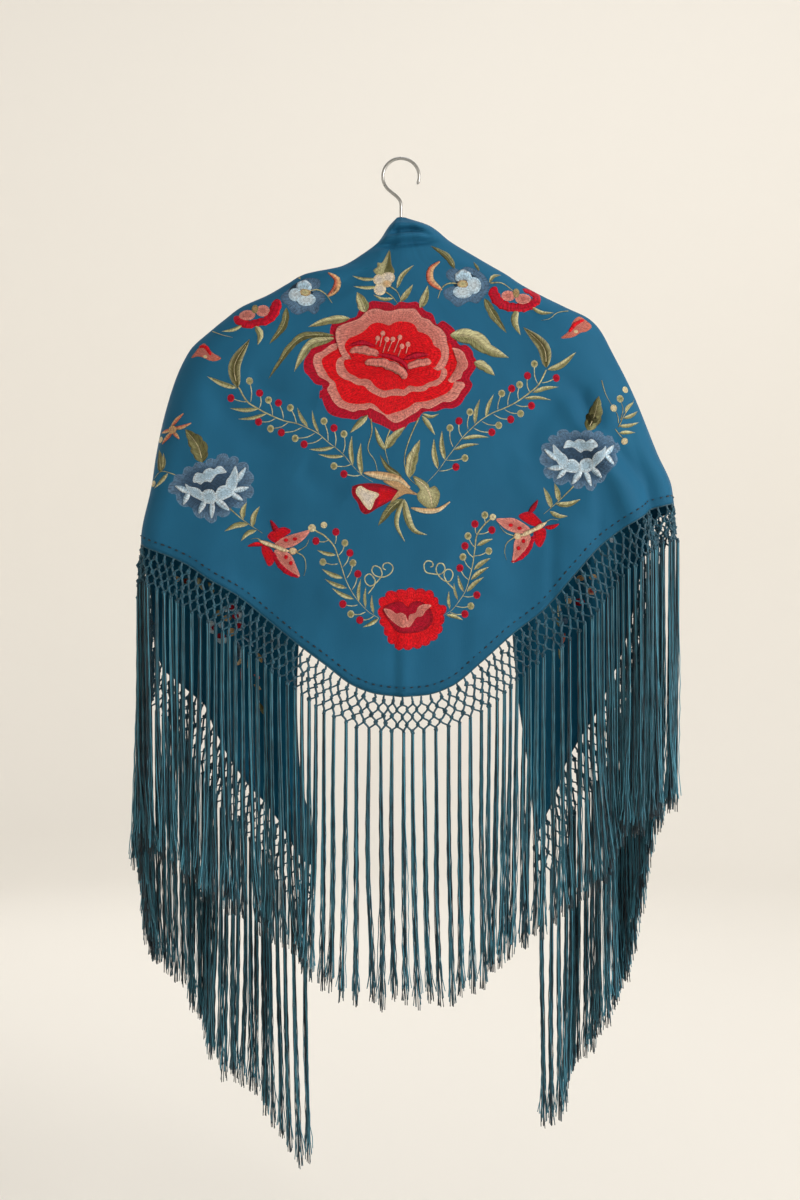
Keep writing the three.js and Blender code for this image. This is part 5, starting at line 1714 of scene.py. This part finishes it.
# hanger
hanger = {
    "arms": [(0, -106, 10, 7.5), (14, -107.5, 9.5, 7.5), (34, -115, 9, 7), (68, -132, 8, 7), (107, -144, 8, 7),
        (146, -162, 8, 6.5), (177, -177, 8, 6.5), (203, -197, 7.5, 6.5), (214, -207, 7, 6), (219, -212, 4.5, 4)],
    "squared": 0.85,
    "slimmer": 0.97,  # than the solid, to stay inside it
    "wire": 1.8,
    "bend": 20,
}


def makeArms():
    rows = np.array(hanger["arms"], float)
    x = np.concatenate([np.linspace(0, 205, 40), np.linspace(207, 219, 8)])
    sizes = [smoothTable(rows[:, 0], rows[:, k], x) for k in (1, 2, 3)]
    full = [np.concatenate([v[:0:-1], v]) for v in sizes]
    x = np.concatenate([-x[:0:-1], x])
    turn = np.linspace(0, 2 * math.pi, 24, endpoint=False)

    def squarer(value):  # a round that is slightly squared
        return math.copysign(abs(value) ** hanger["squared"], value) * hanger["slimmer"]

    points = [(x[k], squarer(math.cos(a)) * full[2][k], full[0][k] + squarer(math.sin(a)) * full[1][k])
              for k in range(len(x)) for a in turn]
    return addMesh("hangerArms", points, ringFaces(len(x), len(turn)), woodFinish)


def makeHook():
    bend = hanger["bend"]
    path = [(0, -100), (0, -90), (0, -70), (0, -56), (0, -49), (-1.2, -44.5), (-4.6, -40.2)]
    for angle in np.arange(-124, -386, -14.5):
        turn = math.radians(angle)
        path.append((bend * math.cos(turn), hanger["wire"] - bend + bend * math.sin(turn)))
    fine = smoothPath(path, 150)
    points = np.stack([fine[:, 0], 0 * fine[:, 0], fine[:, 1]], -1)
    radii = np.full(150, hanger["wire"])
    radii[-3:] = (1.75, 1.5, 0.9)
    return tubeMesh("hangerHook", points, radii, 16, finish=wireFinish)


hangerArms, hangerHook = makeArms(), makeHook()
print("hanger made")

# what stands for what
for piece in (shawlCloth, flowersUpper, flowersLower, reverseUpper, reverseLower, flowersOutside, flowersInside,
        netCords, netKnots, fringeLeft, fringeBack, fringeRight, hemStitches, rolledEdges, hangerArms, hangerHook):
    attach(piece, "root")
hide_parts("shawl_cloth")
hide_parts("fringe_side_left", "fringe_front_left")
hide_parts("fringe_back_left", "fringe_back_right")
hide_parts("fringe_side_right", "fringe_front_right")
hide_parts("hanger_body")
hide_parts("hanger_hook")


# camera, light and floor
studio = {
    "floor": -1.3,
    "radius": 4.2,
    "cove": 1.2,
    "wall": 2.6,
    "shade": (238, 234, 227),
    "sides": 96,
}


def makeStudio():
    radius, low, cove, sides = studio["radius"], studio["floor"], studio["cove"], studio["sides"]
    profile = [(0.01, low), (radius - cove, low)]
    for k in range(1, 13):
        turn = math.pi / 2 * k / 12
        profile.append((radius - cove + cove * math.sin(turn), low + cove - cove * math.cos(turn)))
    profile.append((radius, studio["wall"]))
    points = []
    for r, z in profile:
        for k in range(sides):
            turn = 2 * math.pi * k / sides
            points.append((r * math.cos(turn) * 1000, r * math.sin(turn) * 1000, z * 1000))
    material, kit = newFinish("studioPaper")
    kit.shade({"Base Color": paint(*studio["shade"]), "Roughness": 0.9, "Specular IOR Level": 0.1})
    return addMesh("studioFloor", points, ringFaces(len(profile), sides)[:-1], material)


studioFloor = makeStudio()


def addLight(name, spot, size, power, aim=(0, 0, -0.5), tint=(1, 1, 1)):
    light = bpy.data.lights.new(name, "AREA")
    light.shape = "DISK"
    light.size = size
    light.energy = power
    light.color = tint
    made = intoScene(name, light)
    made.location = spot
    away = np.array(spot, float) - np.array(aim, float)
    made.rotation_euler = (math.atan2(math.hypot(away[0], away[1]), away[2]), 0, math.atan2(away[0], -away[1]))


addLight("keyLight", (2.6, -1.7, 0.3), 1.5, 74, tint=(1.0, 0.99, 0.97))
addLight("fillLight", (-2.0, -1.9, 0.0), 1.8, 4, tint=(1.0, 0.98, 0.95))
addLight("topLight", (0.2, 0.2, 2.4), 1.8, 9)
addLight("farLight", (-1.2, 2.4, 0.6), 1.6, 12)
addLight("wallLight", (0.6, 1.0, 2.2), 2.0, 44, aim=(0.3, 4.2, 0.1))

world = bpy.data.worlds.new("studioAir")
world.use_nodes = True
world.node_tree.nodes["Background"].inputs[0].default_value = (1.0, 0.985, 0.96, 1)
world.node_tree.nodes["Background"].inputs[1].default_value = 0.4
bpy.context.scene.world = world
bpy.context.scene.view_settings.view_transform = "Standard"

lens = bpy.data.cameras.new("photoCamera")
lens.sensor_width = 36
lens.lens = 36 * view["distance"] / (view["imageHeight"] * view["mmPerPixel"])
lens.clip_end = 50
camera = intoScene("photoCamera", lens)
camera.location = (-0.001, -view["distance"] * 0.001, view["aimHeight"] * 0.001)
camera.rotation_euler = (math.pi / 2, 0, 0)
bpy.context.scene.camera = camera
print("studio set")
